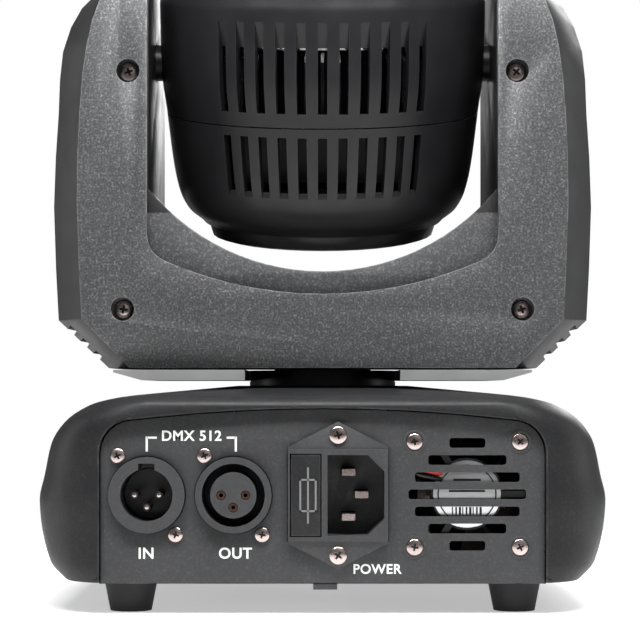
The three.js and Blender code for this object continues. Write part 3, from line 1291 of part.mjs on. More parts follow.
function makeHeatSink(head, radius, top) {
  const pitch = (2 * (radius - FIN)) / (SINK_FINS - 1);
  const fins = Array.from({ length: SINK_FINS }, (_, i) => {
    const x = (i - (SINK_FINS - 1) / 2) * pitch;
    const edge = Math.abs(x) + FIN / 2;
    const reach = Math.sqrt(Math.max(radius ** 2 - edge ** 2, FIN ** 2));
    return block(x - FIN / 2, x + FIN / 2, -reach, reach, SINK_BOTTOM, top - SINK_PLATE / 2);
  });
  const plate = rod("z", [0, 0], top - SINK_PLATE, top, radius, undefined, 32);
  piece("heat_sink", join(plate, fins), ALUMINIUM, head);
}

// ---- Assembly ----
function makeBase() {
  makeHousing();
  makeBasePlate();
  makeFeet();
  makeRearPanel();
  makeControlInput();
  makeControlOutput();
  makeInlet();
  makeFuseDrawer();
  makeMenu();
  makePowerSupply();
  makePanDrive();
}

function makeYoke() {
  makePanHub();
  makeTray();
  makeFlatCovers();
  makeSideCover("yoke_left_cover", -1);
  makeSideCover("yoke_right_cover", 1);
  makeTrough();
  makeFrame();
  makeTiltDrive();
}

function makeHead() {
  const head = new THREE.Group();
  head.position.z = TILT_Z;
  head.rotation.x = THREE.MathUtils.degToRad(HEAD_LEAN);
  group.add(head);
  makeTail(head);
  makeBody(head);
  makeBezel(head);
  makeOptics(head);
  makeAxles();
  return head;
}

makeBase();
makeYoke();
placeFans(makeHead());

export default group;
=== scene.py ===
"""A small moving head wash light seen from its connector side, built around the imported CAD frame.

Lengths in the pieces are millimetres, and MM turns them into Blender's metres.
"""
import math

import bmesh
import bpy
from mathutils import Matrix, Vector


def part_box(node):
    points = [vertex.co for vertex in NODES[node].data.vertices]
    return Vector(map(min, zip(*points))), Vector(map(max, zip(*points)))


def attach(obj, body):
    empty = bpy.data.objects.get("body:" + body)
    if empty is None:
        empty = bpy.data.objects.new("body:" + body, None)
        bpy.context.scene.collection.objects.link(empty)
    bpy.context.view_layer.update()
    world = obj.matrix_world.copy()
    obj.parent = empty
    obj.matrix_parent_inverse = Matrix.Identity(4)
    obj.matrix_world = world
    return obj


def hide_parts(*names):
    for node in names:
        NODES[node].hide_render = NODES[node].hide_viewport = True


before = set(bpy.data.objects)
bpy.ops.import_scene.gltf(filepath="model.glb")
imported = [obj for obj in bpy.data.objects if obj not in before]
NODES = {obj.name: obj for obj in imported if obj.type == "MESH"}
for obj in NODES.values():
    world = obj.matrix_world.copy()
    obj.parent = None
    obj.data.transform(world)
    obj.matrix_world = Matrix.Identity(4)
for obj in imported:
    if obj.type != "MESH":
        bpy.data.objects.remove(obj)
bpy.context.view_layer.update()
MM = 0.001

# ---- Camera, stage and light (metres and watts) ----
CAMERA_BACK = 0.769  # in front of the pan axis
CAMERA_HEIGHT = 0.0686
LENS = 129.9
SHIFT = (-0.004, 0.106)
SENSOR = 36
WORLD_LIGHT = 0.14
FLOOR_GLOW = 0.46  # keeps the floor white away from the lamps
FLOOR_HALF = 0.34  # small, so that the white backdrop starts close behind the object
FLOOR_GREY = 0.93


def make_camera():
    data = bpy.data.cameras.new("camera")
    data.lens = LENS
    data.sensor_width = SENSOR
    data.shift_x, data.shift_y = SHIFT
    data.clip_start = 0.01
    camera = bpy.data.objects.new("camera", data)
    camera.location = (0, -CAMERA_BACK, CAMERA_HEIGHT)
    camera.rotation_euler = (math.radians(90), 0, 0)
    bpy.context.scene.collection.objects.link(camera)
    bpy.context.scene.camera = camera


def link(name, mesh):
    made = bpy.data.objects.new(name, mesh)
    bpy.context.scene.collection.objects.link(made)
    return made


def make_floor():
    """A plain pale floor."""
    mesh = bpy.data.meshes.new("floor")
    corners = [(x * FLOOR_HALF, y * FLOOR_HALF, 0) for x, y in ((-1, -1), (1, -1), (1, 1), (-1, 1))]
    mesh.from_pydata(corners, [], [(0, 1, 2, 3)])
    floor = link("floor", mesh)
    material = bpy.data.materials.new("floor")
    material.use_nodes = True
    shader = material.node_tree.nodes["Principled BSDF"]
    shader.inputs["Base Color"].default_value = (FLOOR_GREY, FLOOR_GREY, FLOOR_GREY, 1)
    shader.inputs["Roughness"].default_value = 0.75
    shader.inputs["Emission Color"].default_value = (1, 1, 1, 1)
    shader.inputs["Emission Strength"].default_value = FLOOR_GLOW
    mesh.materials.append(material)


def make_world():
    """White to the camera, and dimmer as a source of light, so that the lamps shape the object."""
    world = bpy.data.worlds.new("studio")
    world.use_nodes = True
    tree = world.node_tree
    seen = tree.nodes["Background"]
    seen.inputs["Strength"].default_value = 1.0
    lit = tree.nodes.new("ShaderNodeBackground")
    lit.inputs["Strength"].default_value = WORLD_LIGHT
    for background in (seen, lit):
        background.inputs["Color"].default_value = (1, 1, 1, 1)
    path = tree.nodes.new("ShaderNodeLightPath")
    mix = tree.nodes.new("ShaderNodeMixShader")
    tree.links.new(path.outputs["Is Camera Ray"], mix.inputs[0])
    tree.links.new(lit.outputs[0], mix.inputs[1])
    tree.links.new(seen.outputs[0], mix.inputs[2])
    tree.links.new(mix.outputs[0], tree.nodes["World Output"].inputs["Surface"])
    bpy.context.scene.world = world
    bpy.context.scene.view_settings.view_transform = "Standard"


# Name: place, aim, size and power. Those beside the object graze its sides and leave the face
# darker.
LAMPS = {
    "key": ((0, -0.2, 0.37), (0, -0.04, 0.2), (0.4, 0.08), 3.2),
    "fill": ((0.35, -0.9, 0.5), (0, 0, 0.12), (0.8, 0.5), 0.4),
    "left_strip": ((-0.6, 0.06, 0.16), (0, 0, 0.13), (0.16, 0.5), 0.7),
    "right_strip": ((0.6, 0.06, 0.16), (0, 0, 0.13), (0.16, 0.5), 0.7),
    "top": ((0, 0.1, 0.95), (0, 0, 0.2), (0.8, 0.6), 1.2),
    "far_side": ((0.3, 0.8, 0.45), (0, 0, 0.12), (0.7, 0.4), 5),
}


def area_light(name, place, target, size, power):
    data = bpy.data.lights.new(name, "AREA")
    data.shape = "RECTANGLE"
    data.size, data.size_y = size
    data.energy = power
    lamp = bpy.data.objects.new(name, data)
    lamp.location = place
    lamp.rotation_euler = (Vector(target) - Vector(place)).to_track_quat("-Z", "Y").to_euler()
    bpy.context.scene.collection.objects.link(lamp)


make_camera()
make_floor()
make_world()
for name, lamp in LAMPS.items():
    area_light(name, *lamp)

# ---- Materials ----
OBJECT_SCALE = 1000  # texture coordinates are in metres: a scale of 1000 is a cell a millimetre


class Nodes:
    """Short calls for the nodes of one material."""

    def __init__(self, name):
        self.material = bpy.data.materials.new(name)
        self.material.use_nodes = True
        self.tree = self.material.node_tree
        self.shader = self.tree.nodes["Principled BSDF"]
        self.place = self.add("ShaderNodeTexCoord").outputs["Object"]

    def add(self, kind, **settings):
        node = self.tree.nodes.new(kind)
        for key, value in settings.items():
            setattr(node, key, value)
        return node

    def join(self, output, socket):
        self.tree.links.new(output, socket)

    def noise(self, cell_mm, detail=2.0, roughness=0.5, stretch=None):
        """A noise with cells of that size, from about 0.25 to 0.75."""
        node = self.add("ShaderNodeTexNoise")
        node.inputs["Scale"].default_value = OBJECT_SCALE / cell_mm
        node.inputs["Detail"].default_value = detail
        node.inputs["Roughness"].default_value = roughness
        place = self.place
        if stretch:
            mapping = self.add("ShaderNodeMapping")
            mapping.inputs["Scale"].default_value = stretch
            self.join(place, mapping.inputs["Vector"])
            place = mapping.outputs["Vector"]
        self.join(place, node.inputs["Vector"])
        return node.outputs["Fac"]

    def ranged(self, value, low, high, to_low=0.0, to_high=1.0):
        node = self.add("ShaderNodeMapRange", clamp=True)
        limits = {"From Min": low, "From Max": high, "To Min": to_low, "To Max": to_high}
        for key, number in limits.items():
            node.inputs[key].default_value = number
        self.join(value, node.inputs["Value"])
        return node.outputs["Result"]

    def mixed(self, share, first, second, blend="MIX"):
        """Colours mixed by share; each may be a colour or an output."""
        node = self.add("ShaderNodeMix", data_type="RGBA", blend_type=blend)
        for index, value in ((0, share), (6, first), (7, second)):
            if isinstance(value, bpy.types.NodeSocket):
                self.join(value, node.inputs[index])
            else:
                node.inputs[index].default_value = value
        return node.outputs[2]

    def math(self, operation, first, second):
        node = self.add("ShaderNodeMath", operation=operation)
        for index, value in ((0, first), (1, second)):
            if isinstance(value, bpy.types.NodeSocket):
                self.join(value, node.inputs[index])
            else:
                node.inputs[index].default_value = value
        return node.outputs[0]

    def edges(self, radius_mm):
        """About 1 along sharp edges and 0 elsewhere."""
        rounded = self.add("ShaderNodeBevel", samples=4)
        rounded.inputs["Radius"].default_value = radius_mm * MM
        flat = self.add("ShaderNodeNewGeometry").outputs["Normal"]
        dot = self.add("ShaderNodeVectorMath", operation="DOT_PRODUCT")
        self.join(rounded.outputs["Normal"], dot.inputs[0])
        self.join(flat, dot.inputs[1])
        return self.ranged(dot.outputs["Value"], 0.99, 0.88)

    def bump(self, height, depth_mm, strength):
        node = self.add("ShaderNodeBump")
        node.inputs["Strength"].default_value = strength
        node.inputs["Distance"].default_value = depth_mm * MM
        self.join(height, node.inputs["Height"])
        self.join(node.outputs["Normal"], self.shader.inputs["Normal"])


# The matt black used as painted shade.
PAINTED_SHADE_BLACK = (0.002, 0.002, 0.002, 1)


def shade(colour, factor):
    return tuple(min(1.0, part * factor) for part in colour[:3]) + (1,)


def finish(name, colour, roughness, metallic=0.0, mottle=0.1, grain=0.6, grain_depth=0.06,
           fleck=1.0, fleck_cell=0.8, edge_wear_and_highlight=1.8, edge_wear_and_highlight_mm=0.35, coat=0.0, brushed=None, specular=0.5,
           painted_shade_above=None):
    """A moulded, painted or metal surface: mottled, flecked, finely grained, with brightened edges
    that are partly wear and partly painted highlight.

    The fleck and edge settings say how many times brighter than the colour the flecks and the
    brightened edges are; the brightened edges are partly wear and partly painted highlight.
    The black height setting is the height in millimetres above which the colour is painted matt
    black: painted shade for walls that lie in shadow.
    """
    n = Nodes(name + "_finish")
    patches = n.ranged(n.noise(22, 3), 0.3, 0.7)
    base = n.mixed(patches, shade(colour, 1 - mottle), shade(colour, 1 + mottle))
    if fleck > 1:
        cloud = n.ranged(n.noise(2.6 * fleck_cell, 3, 0.7), 0.35, 0.7, 0.1, 0.9)
        spots = n.math("MULTIPLY", n.ranged(n.noise(fleck_cell, 3, 0.75), 0.46, 0.72), cloud)
        base = n.mixed(spots, base, shade(colour, fleck))
    # Brightened edges: partly wear, partly painted highlight along the edges.
    if edge_wear_and_highlight > 1:
        worn_and_highlit_edges = n.math("MULTIPLY", n.edges(edge_wear_and_highlight_mm), n.ranged(n.noise(4, 3), 0.34, 0.6))
        base = n.mixed(worn_and_highlit_edges, base, shade(colour, edge_wear_and_highlight))
    # Painted shade: matt black above the given height, where the upper inner walls lie in shadow.
    if painted_shade_above:
        split = n.add("ShaderNodeSeparateXYZ")
        n.join(n.place, split.inputs[0])
        painted_shade = n.ranged(split.outputs["Z"], (painted_shade_above - 0.3) * MM, (painted_shade_above + 0.3) * MM)
        base = n.mixed(painted_shade, base, PAINTED_SHADE_BLACK)
    n.join(base, n.shader.inputs["Base Color"])
    uneven = n.ranged(n.noise(9, 4), 0.3, 0.7, roughness - 0.06, roughness + 0.06)
    n.join(uneven, n.shader.inputs["Roughness"])
    n.shader.inputs["Metallic"].default_value = metallic
    n.shader.inputs["Specular IOR Level"].default_value = specular
    n.shader.inputs["Coat Weight"].default_value = coat
    n.bump(n.noise(grain, 3, 0.6, brushed), grain_depth, 0.5)
    return n.material


# The edge setting in each finish brightens edges, partly as wear and partly as painted highlight.
FINISHES = {
    "housing": dict(colour=(0.012, 0.0122, 0.013), roughness=0.48, grain=0.8, grain_depth=0.08,
                    fleck=2.6, edge_wear_and_highlight=6.0, edge_wear_and_highlight_mm=0.5, specular=0.25),
    "panel": dict(colour=(0.038, 0.0385, 0.040), roughness=0.55, grain_depth=0.05, fleck=1.9,
                  edge_wear_and_highlight=1.5, specular=0.3),
    "yoke_cover": dict(colour=(0.050, 0.0505, 0.052), roughness=0.42, metallic=0.3, grain=0.7,
                       grain_depth=0.1, fleck=6.5, fleck_cell=0.7, edge_wear_and_highlight=5.0, edge_wear_and_highlight_mm=0.6),
    # Above 124 mm the trough is painted black, as painted shade on its shadowed upper inner walls.
    "trough": dict(colour=(0.042, 0.0425, 0.044), roughness=0.45, metallic=0.2, grain=0.7,
                   grain_depth=0.1, fleck=5, fleck_cell=0.7, edge_wear_and_highlight=4.0, edge_wear_and_highlight_mm=0.6,
                   painted_shade_above=124),
    "side_cover": dict(colour=(0.018, 0.0182, 0.019), roughness=0.45, grain=0.5,
                       grain_depth=0.02, specular=0.3),
    "head_shell": dict(colour=(0.010, 0.010, 0.011), roughness=0.36, grain_depth=0.03, edge_wear_and_highlight=2.4,
                       specular=0.33),
    "black_plastic": dict(colour=(0.006, 0.006, 0.0065), roughness=0.38, grain=0.5,
                          grain_depth=0.03, edge_wear_and_highlight=3.0, specular=0.4),
    "rubber": dict(colour=(0.016, 0.016, 0.017), roughness=0.7, grain=0.8, grain_depth=0.1,
                   edge_wear_and_highlight=1.6, specular=0.3),
    "steel": dict(colour=(0.46, 0.38, 0.36), roughness=0.24, metallic=1.0, grain=0.4,
                  grain_depth=0.02, edge_wear_and_highlight=1.2, brushed=(1, 1, 6)),
    "dark_steel": dict(colour=(0.12, 0.12, 0.125), roughness=0.35, metallic=0.8,
                       grain_depth=0.02, edge_wear_and_highlight=1.6),
    "aluminium": dict(colour=(0.60, 0.61, 0.62), roughness=0.35, metallic=1.0, grain=0.5,
                      grain_depth=0.03, edge_wear_and_highlight=1.2, brushed=(1, 8, 1)),
    "tray": dict(colour=(0.33, 0.33, 0.335), roughness=0.4, metallic=0.4, grain=0.5,
                 grain_depth=0.03, edge_wear_and_highlight=1.2),
    "black_anodised": dict(colour=(0.015, 0.015, 0.017), roughness=0.3, metallic=0.6, grain=0.5,
                           grain_depth=0.03, edge_wear_and_highlight=6.0, brushed=(1, 8, 1)),
    "circuit_board": dict(colour=(0.02, 0.10, 0.045), roughness=0.4, grain=1.2,
                          grain_depth=0.04, fleck=2.5, fleck_cell=2.2),
    "display": dict(colour=(0.012, 0.012, 0.014), roughness=0.12, coat=0.6, grain=2,
                    grain_depth=0.01),
    "ink": dict(colour=(0.80, 0.80, 0.79), roughness=0.5, mottle=0.05, grain=0.3,
                grain_depth=0.01, edge_wear_and_highlight=1.0),
    "ink_grey": dict(colour=(0.16, 0.16, 0.16), roughness=0.5, mottle=0.05, grain=0.3,
                     grain_depth=0.01, edge_wear_and_highlight=1.0),
    "foil": dict(colour=(0.62, 0.62, 0.63), roughness=0.32, metallic=0.85, grain=1.5,
                 grain_depth=0.03, edge_wear_and_highlight=1.1),
    "red_wire": dict(colour=(0.42, 0.012, 0.015), roughness=0.4, grain=0.5, grain_depth=0.02,
                     edge_wear_and_highlight=1.3),
    "socket_brown": dict(colour=(0.05, 0.022, 0.014), roughness=0.4, metallic=0.4, grain=0.5,
                         grain_depth=0.02, edge_wear_and_highlight=1.3),
}
LOOKS = {look: finish(look, **settings) for look, settings in FINISHES.items()}


def clear_finish(name, tint, roughness):
    """Moulded clear plastic or glass with faint waves."""
    n = Nodes(name + "_finish")
    waves = n.ranged(n.noise(6, 3), 0.3, 0.7)
    n.join(n.mixed(waves, tint + (1,), shade(tint, 0.93)), n.shader.inputs["Base Color"])
    uneven = n.ranged(n.noise(5, 3), 0.35, 0.65, roughness, roughness + 0.05)
    n.join(uneven, n.shader.inputs["Roughness"])
    n.shader.inputs["Transmission Weight"].default_value = 0.92
    n.shader.inputs["IOR"].default_value = 1.49
    n.bump(n.noise(3, 2), 0.02, 0.3)
    return n.material


LOOKS["lens"] = clear_finish("lens", (0.93, 0.95, 0.97), 0.03)
LOOKS["fuse_glass"] = clear_finish("fuse_glass", (0.9, 0.91, 0.88), 0.04)

# ---- The CAD nodes ----
WELD = 0.01 * MM


def smoothing(angle_deg):
    """Geometry nodes that shade faces smooth and keep edges sharper than the angle."""
    group = bpy.data.node_groups.new("smooth_by_angle", "GeometryNodeTree")
    group.interface.new_socket("Geometry", in_out="INPUT", socket_type="NodeSocketGeometry")
    group.interface.new_socket("Geometry", in_out="OUTPUT", socket_type="NodeSocketGeometry")
    add, join = group.nodes.new, group.links.new
    entry, leave = add("NodeGroupInput"), add("NodeGroupOutput")
    drop = add("GeometryNodeRemoveAttribute")
    drop.inputs["Name"].default_value = "custom_normal"
    faces = add("GeometryNodeSetShadeSmooth")
    edges = add("GeometryNodeSetShadeSmooth")
    edges.domain = "EDGE"
    edges.inputs["Shade Smooth"].default_value = False
    angle = add("GeometryNodeInputMeshEdgeAngle")
    over = add("FunctionNodeCompare")
    over.inputs["B"].default_value = math.radians(angle_deg)
    join(entry.outputs[0], drop.inputs["Geometry"])
    join(drop.outputs["Geometry"], faces.inputs["Geometry"])
    join(faces.outputs["Geometry"], edges.inputs["Geometry"])
    join(angle.outputs["Unsigned Angle"], over.inputs["A"])
    join(over.outputs["Result"], edges.inputs["Selection"])
    join(edges.outputs["Geometry"], leave.inputs[0])
    return group


SMOOTHING = smoothing(32)


def soften(piece, bevel_mm=0.0):
    """Rounds the sharp edges of a piece and shades the rest smooth."""
    weld = piece.modifiers.new("weld", "WELD")
    weld.merge_threshold = WELD
    if bevel_mm:
        flat = piece.modifiers.new("flat_faces", "DECIMATE")
        flat.decimate_type = "DISSOLVE"
        flat.angle_limit = math.radians(0.8)
        bevel = piece.modifiers.new("edges", "BEVEL")
        bevel.width = bevel_mm * MM
        bevel.segments = 2
        bevel.limit_method = "ANGLE"
        bevel.angle_limit = math.radians(35)
    smooth = piece.modifiers.new("smooth", "NODES")
    smooth.node_group = SMOOTHING


def dress(name, look):
    node = NODES[name]
    node.data.materials.clear()
    node.data.materials.append(LOOKS[look])


DRESSING = {  # look: nodes
    "housing": ("base_shell", "fuse_drawer"),
    "panel": ("rear_panel", "base_plate", "xlr_in_shell", "xlr_out_shell", "xlr_out_insert",
              "power_inlet", "front_panel"),
    "yoke_cover": ("yoke_rear_cover", "yoke_front_cover"),
    "trough": ("yoke_trough",),
    "side_cover": ("yoke_left_cover", "yoke_right_cover"),
    "head_shell": ("head_tail_shell", "head_body_shell", "tail_cap", "front_bezel"),
    "black_plastic": ("xlr_in_insert", "base_fan_frame", "base_fan_rotor", "pan_hub",
                      "button_menu", "button_up", "button_down", "button_enter", "head_fan_frame",
                      "head_fan_rotor", "pan_belt", "tilt_belt", "tilt_axle_left", "tilt_axle_right"),
    "rubber": ("foot_rear_left", "foot_rear_right", "foot_front_left", "foot_front_right"),
    "steel": ("cover_screw_1", "cover_screw_2", "cover_screw_3", "cover_screw_4", "inlet_blade_live",
              "inlet_blade_earth", "inlet_blade_neutral", "pan_bearing", "tilt_bearing_left",
              "tilt_bearing_right", "power_supply"),
    "dark_steel": ("pan_motor", "tilt_motor", "yoke_frame"),
    "black_anodised": ("heat_sink",),
    "aluminium": ("pan_motor_pulley", "tilt_motor_pulley"),
    "tray": ("yoke_tray",),
    "circuit_board": ("control_board", "led_board"),
    "display": ("display_lens",),
    "lens": ("lens_plate",),
    "fuse_glass": ("fuse",),
}
BEVELS = {"rear_panel": 0.15, "yoke_rear_cover": 0.5, "yoke_front_cover": 0.5,
          "yoke_left_cover": 0.5, "yoke_right_cover": 0.5, "power_inlet": 0.3, "yoke_trough": 0.4,
          "fuse_drawer": 0.3}
for look, names in DRESSING.items():
    for name in names:
        dress(name, look)
        soften(NODES[name], BEVELS.get(name, 0))

# ---- Pieces ----
SMOOTH_DEG = 35  # edges sharper than this stay sharp


def corners(node):
    """The lowest and highest corner of a CAD node at rest."""
    low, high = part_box(node)
    return low / MM, high / MM


def middle_of(node):
    low, high = corners(node)
    return (low + high) / 2


def place_piece(name, mesh, look, body, matrix=None):
    """A finished piece in the row frame, riding on a body."""
    if matrix:
        mesh.transform(matrix)
    if mesh.materials:
        mesh.materials[0] = LOOKS[look]
    else:
        mesh.materials.append(LOOKS[look])
    piece = link(name, mesh)
    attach(piece, body)
    return piece


def smooth(mesh):
    """Shades a mesh smooth, but for its sharp edges."""
    mesh.shade_smooth()
    mesh.set_sharp_from_angle(angle=math.radians(SMOOTH_DEG))
    return mesh


def mesh_of(bm, name):
    bmesh.ops.recalc_face_normals(bm, faces=bm.faces)
    mesh = bpy.data.meshes.new(name)
    bm.to_mesh(mesh)
    bm.free()
    return smooth(mesh)


def settled(piece, name):
    """The mesh of an object with its modifiers, in place of the object."""
    seen = piece.evaluated_get(bpy.context.evaluated_depsgraph_get())
    mesh = bpy.data.meshes.new_from_object(seen)
    bpy.data.objects.remove(piece)
    mesh.name = name
    return mesh


def lathe(points, steps=48):
    """A turned solid about +Z from (radius, height) points, closed on the axis or as a ring."""
    bm = bmesh.new()
    rings = []
    for radius, height in points:
        if radius == 0:
            rings.append([bm.verts.new((0, 0, height * MM))])
            continue
        ring = []
        for step in range(steps):
            turn = 2 * math.pi * step / steps
            spot = Vector((radius * math.cos(turn), radius * math.sin(turn), height))
            ring.append(bm.verts.new(spot * MM))
        rings.append(ring)
    closing = [rings[0]] if points[0][0] and points[-1][0] else []
    for first, second in zip(rings, rings[1:] + closing):
        for step in range(steps):
            after = (step + 1) % steps
            if len(first) == 1:
                bm.faces.new((first[0], second[after], second[step]))
            elif len(second) == 1:
                bm.faces.new((first[step], first[after], second[0]))
            else:
                bm.faces.new((first[step], first[after], second[after], second[step]))
    return bm


def add_block(bm, x0, x1, y0, y1, z0, z1):
    """Adds a closed block to bm and returns its vertices."""
    middle = Matrix.Translation(Vector((x0 + x1, y0 + y1, z0 + z1)) * MM / 2)
    sized = Matrix.Diagonal(((x1 - x0) * MM, (y1 - y0) * MM, (z1 - z0) * MM, 1))
    return bmesh.ops.create_cube(bm, size=1, matrix=middle @ sized)["verts"]


def add_prism(bm, first, second):
    """Adds a closed solid between two outlines of as many vertices each."""
    for i in range(len(first)):
        after = (i + 1) % len(first)
        bm.faces.new((first[i], first[after], second[after], second[i]))
    bm.faces.new(first)
    bm.faces.new(second)


def cut(mesh, cutter, name):
    """mesh less cutter, as a new mesh."""
    body, tool = link("cut_body", mesh), link("cut_tool", cutter)
    boolean = body.modifiers.new("cut", "BOOLEAN")
    boolean.operation = "DIFFERENCE"
    boolean.solver = "EXACT"
    boolean.object = tool
    made = settled(body, name)
    bpy.data.objects.remove(tool)
    return smooth(made)


def facing(x, y, z, turn_deg=0.0):
    """Matrix that puts a piece made about +Z at a point, facing the connector side."""
    place = Matrix.Translation(Vector((x, y, z)) * MM)
    tip = Matrix.Rotation(math.radians(90), 4, "X")
    return place @ tip @ Matrix.Rotation(math.radians(turn_deg), 4, "Z")


# ---- Screws ----
SCREW_SIDES = 40
SHANK = 2.0
SHANK_SHARE = 0.5  # of the head's radius
SEAT_SHARE = 0.96  # the head's underside, of its radius
RIM_SHARE = 0.35  # of the head's height, below its dome
DOME_STEPS = 6
WING_SHARE = 0.62  # half length of the cross, of the head's radius
SLOT_SHARE = 0.17  # half width of the cross
RECESS_SHARE = 0.75  # of the head's height
RECESS_TAPER = 0.6
PANEL_FRONT = corners("rear_panel")[0].y
FLANGE_FRONT = -70.9  # of the inlet
SEAT_GAP = 0.05
XLR_SCREW, XLR_SCREW_RISE = 2.35, 1.1  # radius and height of the head, and so for the next ones
XLR_SCREWS = ((-8.8, 11.9, 25), (8.7, -12.0, 75))  # across, up and turn of the cross in degrees
INLET_SCREW, INLET_SCREW_RISE = 2.7, 0.95
INLET_SCREWS = ((0, 18.2, 15), (0, -18.2, 55))
FAN_SCREW, FAN_SCREW_RISE = 2.5, 0.8
FAN_SCREWS = ((-16, 16, 10), (16, 16, 45), (-16, -16, 80), (16, -16, 115))
COVER_SCREW_RISE = 1.3
COVER_SCREW_TURNS = (20, 50, 80, 110)
WASHER = ((2.6, 0), (3.5, 0), (3.55, 0.15), (3.3, 0.3), (2.9, 0.3), (2.6, 0.12))


def cross_screw(radius, rise, shank):
    """A pan-head screw with its cross recess painted black as painted shade: its seat at height 0,
    its head towards +Z.
    """
    rim = rise * RIM_SHARE
    profile = [(0, -shank), (radius * SHANK_SHARE, -shank), (radius * SHANK_SHARE, 0),
               (radius * SEAT_SHARE, 0), (radius, rim * 0.3), (radius, rim)]
    for step in range(1, DOME_STEPS):
        turn = math.radians(90 * step / DOME_STEPS)
        profile.append((radius * math.cos(turn), rim + (rise - rim) * math.sin(turn)))
    profile.append((0, rise))
    wing, width, floor = radius * WING_SHARE, radius * SLOT_SHARE, rise * (1 - RECESS_SHARE)
    head = mesh_of(lathe(profile, SCREW_SIDES), "screw")
    for across, along in ((wing, width), (width, wing)):
        cutter = bmesh.new()
        for corner in add_block(cutter, -across, across, -along, along, floor, rise + 1):
            if corner.co.z < rise * MM:
                corner.co.x *= RECESS_TAPER
                corner.co.y *= RECESS_TAPER
        head = cut(head, mesh_of(cutter, "recess"), "screw")
    # The faces inside the cross recess get black plastic as painted shade in the recess; the rest of
    # the head is steel.
    head.materials.clear()
    for look in ("steel", "black_plastic"):
        head.materials.append(LOOKS[look])
    for face in head.polygons:
        spot = face.center / MM
        out = math.hypot(spot.x, spot.y)
        dome = rim + (rise - rim) * math.sqrt(max(0, 1 - (out / radius) ** 2))
        face.material_index = int(out < wing and rise * 0.1 < spot.z < dome - rise * 0.08)
    return head


def screw(name, place, turn_deg, radius, rise, body="base", shank=SHANK):
    mesh = cross_screw(radius, rise, shank)
    return place_piece(name, mesh, "steel", body, facing(*place, turn_deg))


def make_screws():
    for side in ("in", "out"):
        middle = middle_of("xlr_%s_shell" % side)
        for number, (across, up, turn) in enumerate(XLR_SCREWS, 1):
            place = (middle.x + across, PANEL_FRONT - SEAT_GAP, middle.z + up)
            screw("xlr_%s_screw_%d" % (side, number), place, turn, XLR_SCREW, XLR_SCREW_RISE)
    middle = middle_of("power_inlet")
    for number, (across, up, turn) in enumerate(INLET_SCREWS, 1):
        place = (middle.x + across, FLANGE_FRONT, middle.z + up)
        screw("inlet_screw_%d" % number, place, turn, INLET_SCREW, INLET_SCREW_RISE)
    fan = middle_of("base_fan_frame")
    for number, (across, up, turn) in enumerate(FAN_SCREWS, 1):
        x, z = fan.x + across, fan.z + up
        place = (x, PANEL_FRONT - SEAT_GAP, z)
        screw("fan_screw_%d" % number, place, turn, FAN_SCREW, FAN_SCREW_RISE)
        washer = mesh_of(lathe(WASHER, SCREW_SIDES), "washer")
        place_piece("fan_screw_washer_%d" % number, washer, "panel", "base",
                    facing(x, PANEL_FRONT, z))
    for number, turn in enumerate(COVER_SCREW_TURNS, 1):
        node = "cover_screw_%d" % number
        (low, high), middle = corners(node), middle_of(node)
        place = (middle.x, low.y + COVER_SCREW_RISE, middle.z)
        shank = high.y - low.y - COVER_SCREW_RISE - 0.2
        piece = screw(node + "_head", place, turn, (high.x - low.x) / 2, COVER_SCREW_RISE,
                      "yoke", shank)
        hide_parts(node)


make_screws()

# ---- Printed labels ----
INK = 0.06  # how thick the print stands
LETTER_WEIGHT = 0.022
LETTER_SPACING = 1.08
LINE = 0.65  # width of the bracket's line over the two connectors
BRACKET_TOP = 53.5
BRACKET_FOOT = 49.3
BRACKET_GAP = 10.6  # from the middle of the lettering to the line


def label(name, text, x, z, cap_height):
    """Generic lettering printed on the panel, centred on (x, z)."""
    data = bpy.data.curves.new(name, "FONT")
    data.body = text
    data.size = 1
    data.offset = LETTER_WEIGHT
    data.extrude = 0.01
    data.space_character = LETTER_SPACING
    mesh = settled(link(name + "_text", data), name)
    low = Vector(min(v.co[i] for v in mesh.vertices) for i in range(3))
    high = Vector(max(v.co[i] for v in mesh.vertices) for i in range(3))
    mesh.transform(Matrix.Translation(-(low + high) / 2))
    scale = cap_height * MM / (high.y - low.y)
    mesh.transform(Matrix.Diagonal((scale, scale, INK * MM / (high.z - low.z), 1)))
    return place_piece(name, mesh, "ink", "base", facing(x, PANEL_FRONT - INK / 2, z))


def make_labels():
    xlr_in, xlr_out = (middle_of("xlr_%s_shell" % side).x for side in ("in", "out"))
    middle = (xlr_in + xlr_out) / 2 + 0.5
    label("label_control", "DMX 512", middle, 54.1, 3.2)
    label("label_in", "IN", xlr_in - 0.2, 18.5, 3.4)
    label("label_out", "OUT", xlr_out + 0.6, 18.5, 3.4)
    label("label_power", "POWER", 16.7, 13.7, 3.0)
    front, half = PANEL_FRONT - INK, LINE / 2
    bm = bmesh.new()
    for end, sign in ((xlr_in, 1), (xlr_out + 0.7, -1)):
        low, high = sorted((end, middle - sign * BRACKET_GAP))
        add_block(bm, low, high, front, PANEL_FRONT, BRACKET_TOP - half, BRACKET_TOP + half)
        add_block(bm, end - half, end + half, front, PANEL_FRONT, BRACKET_FOOT, BRACKET_TOP + half)
    place_piece("label_bracket", mesh_of(bm, "bracket"), "ink", "base")


make_labels()

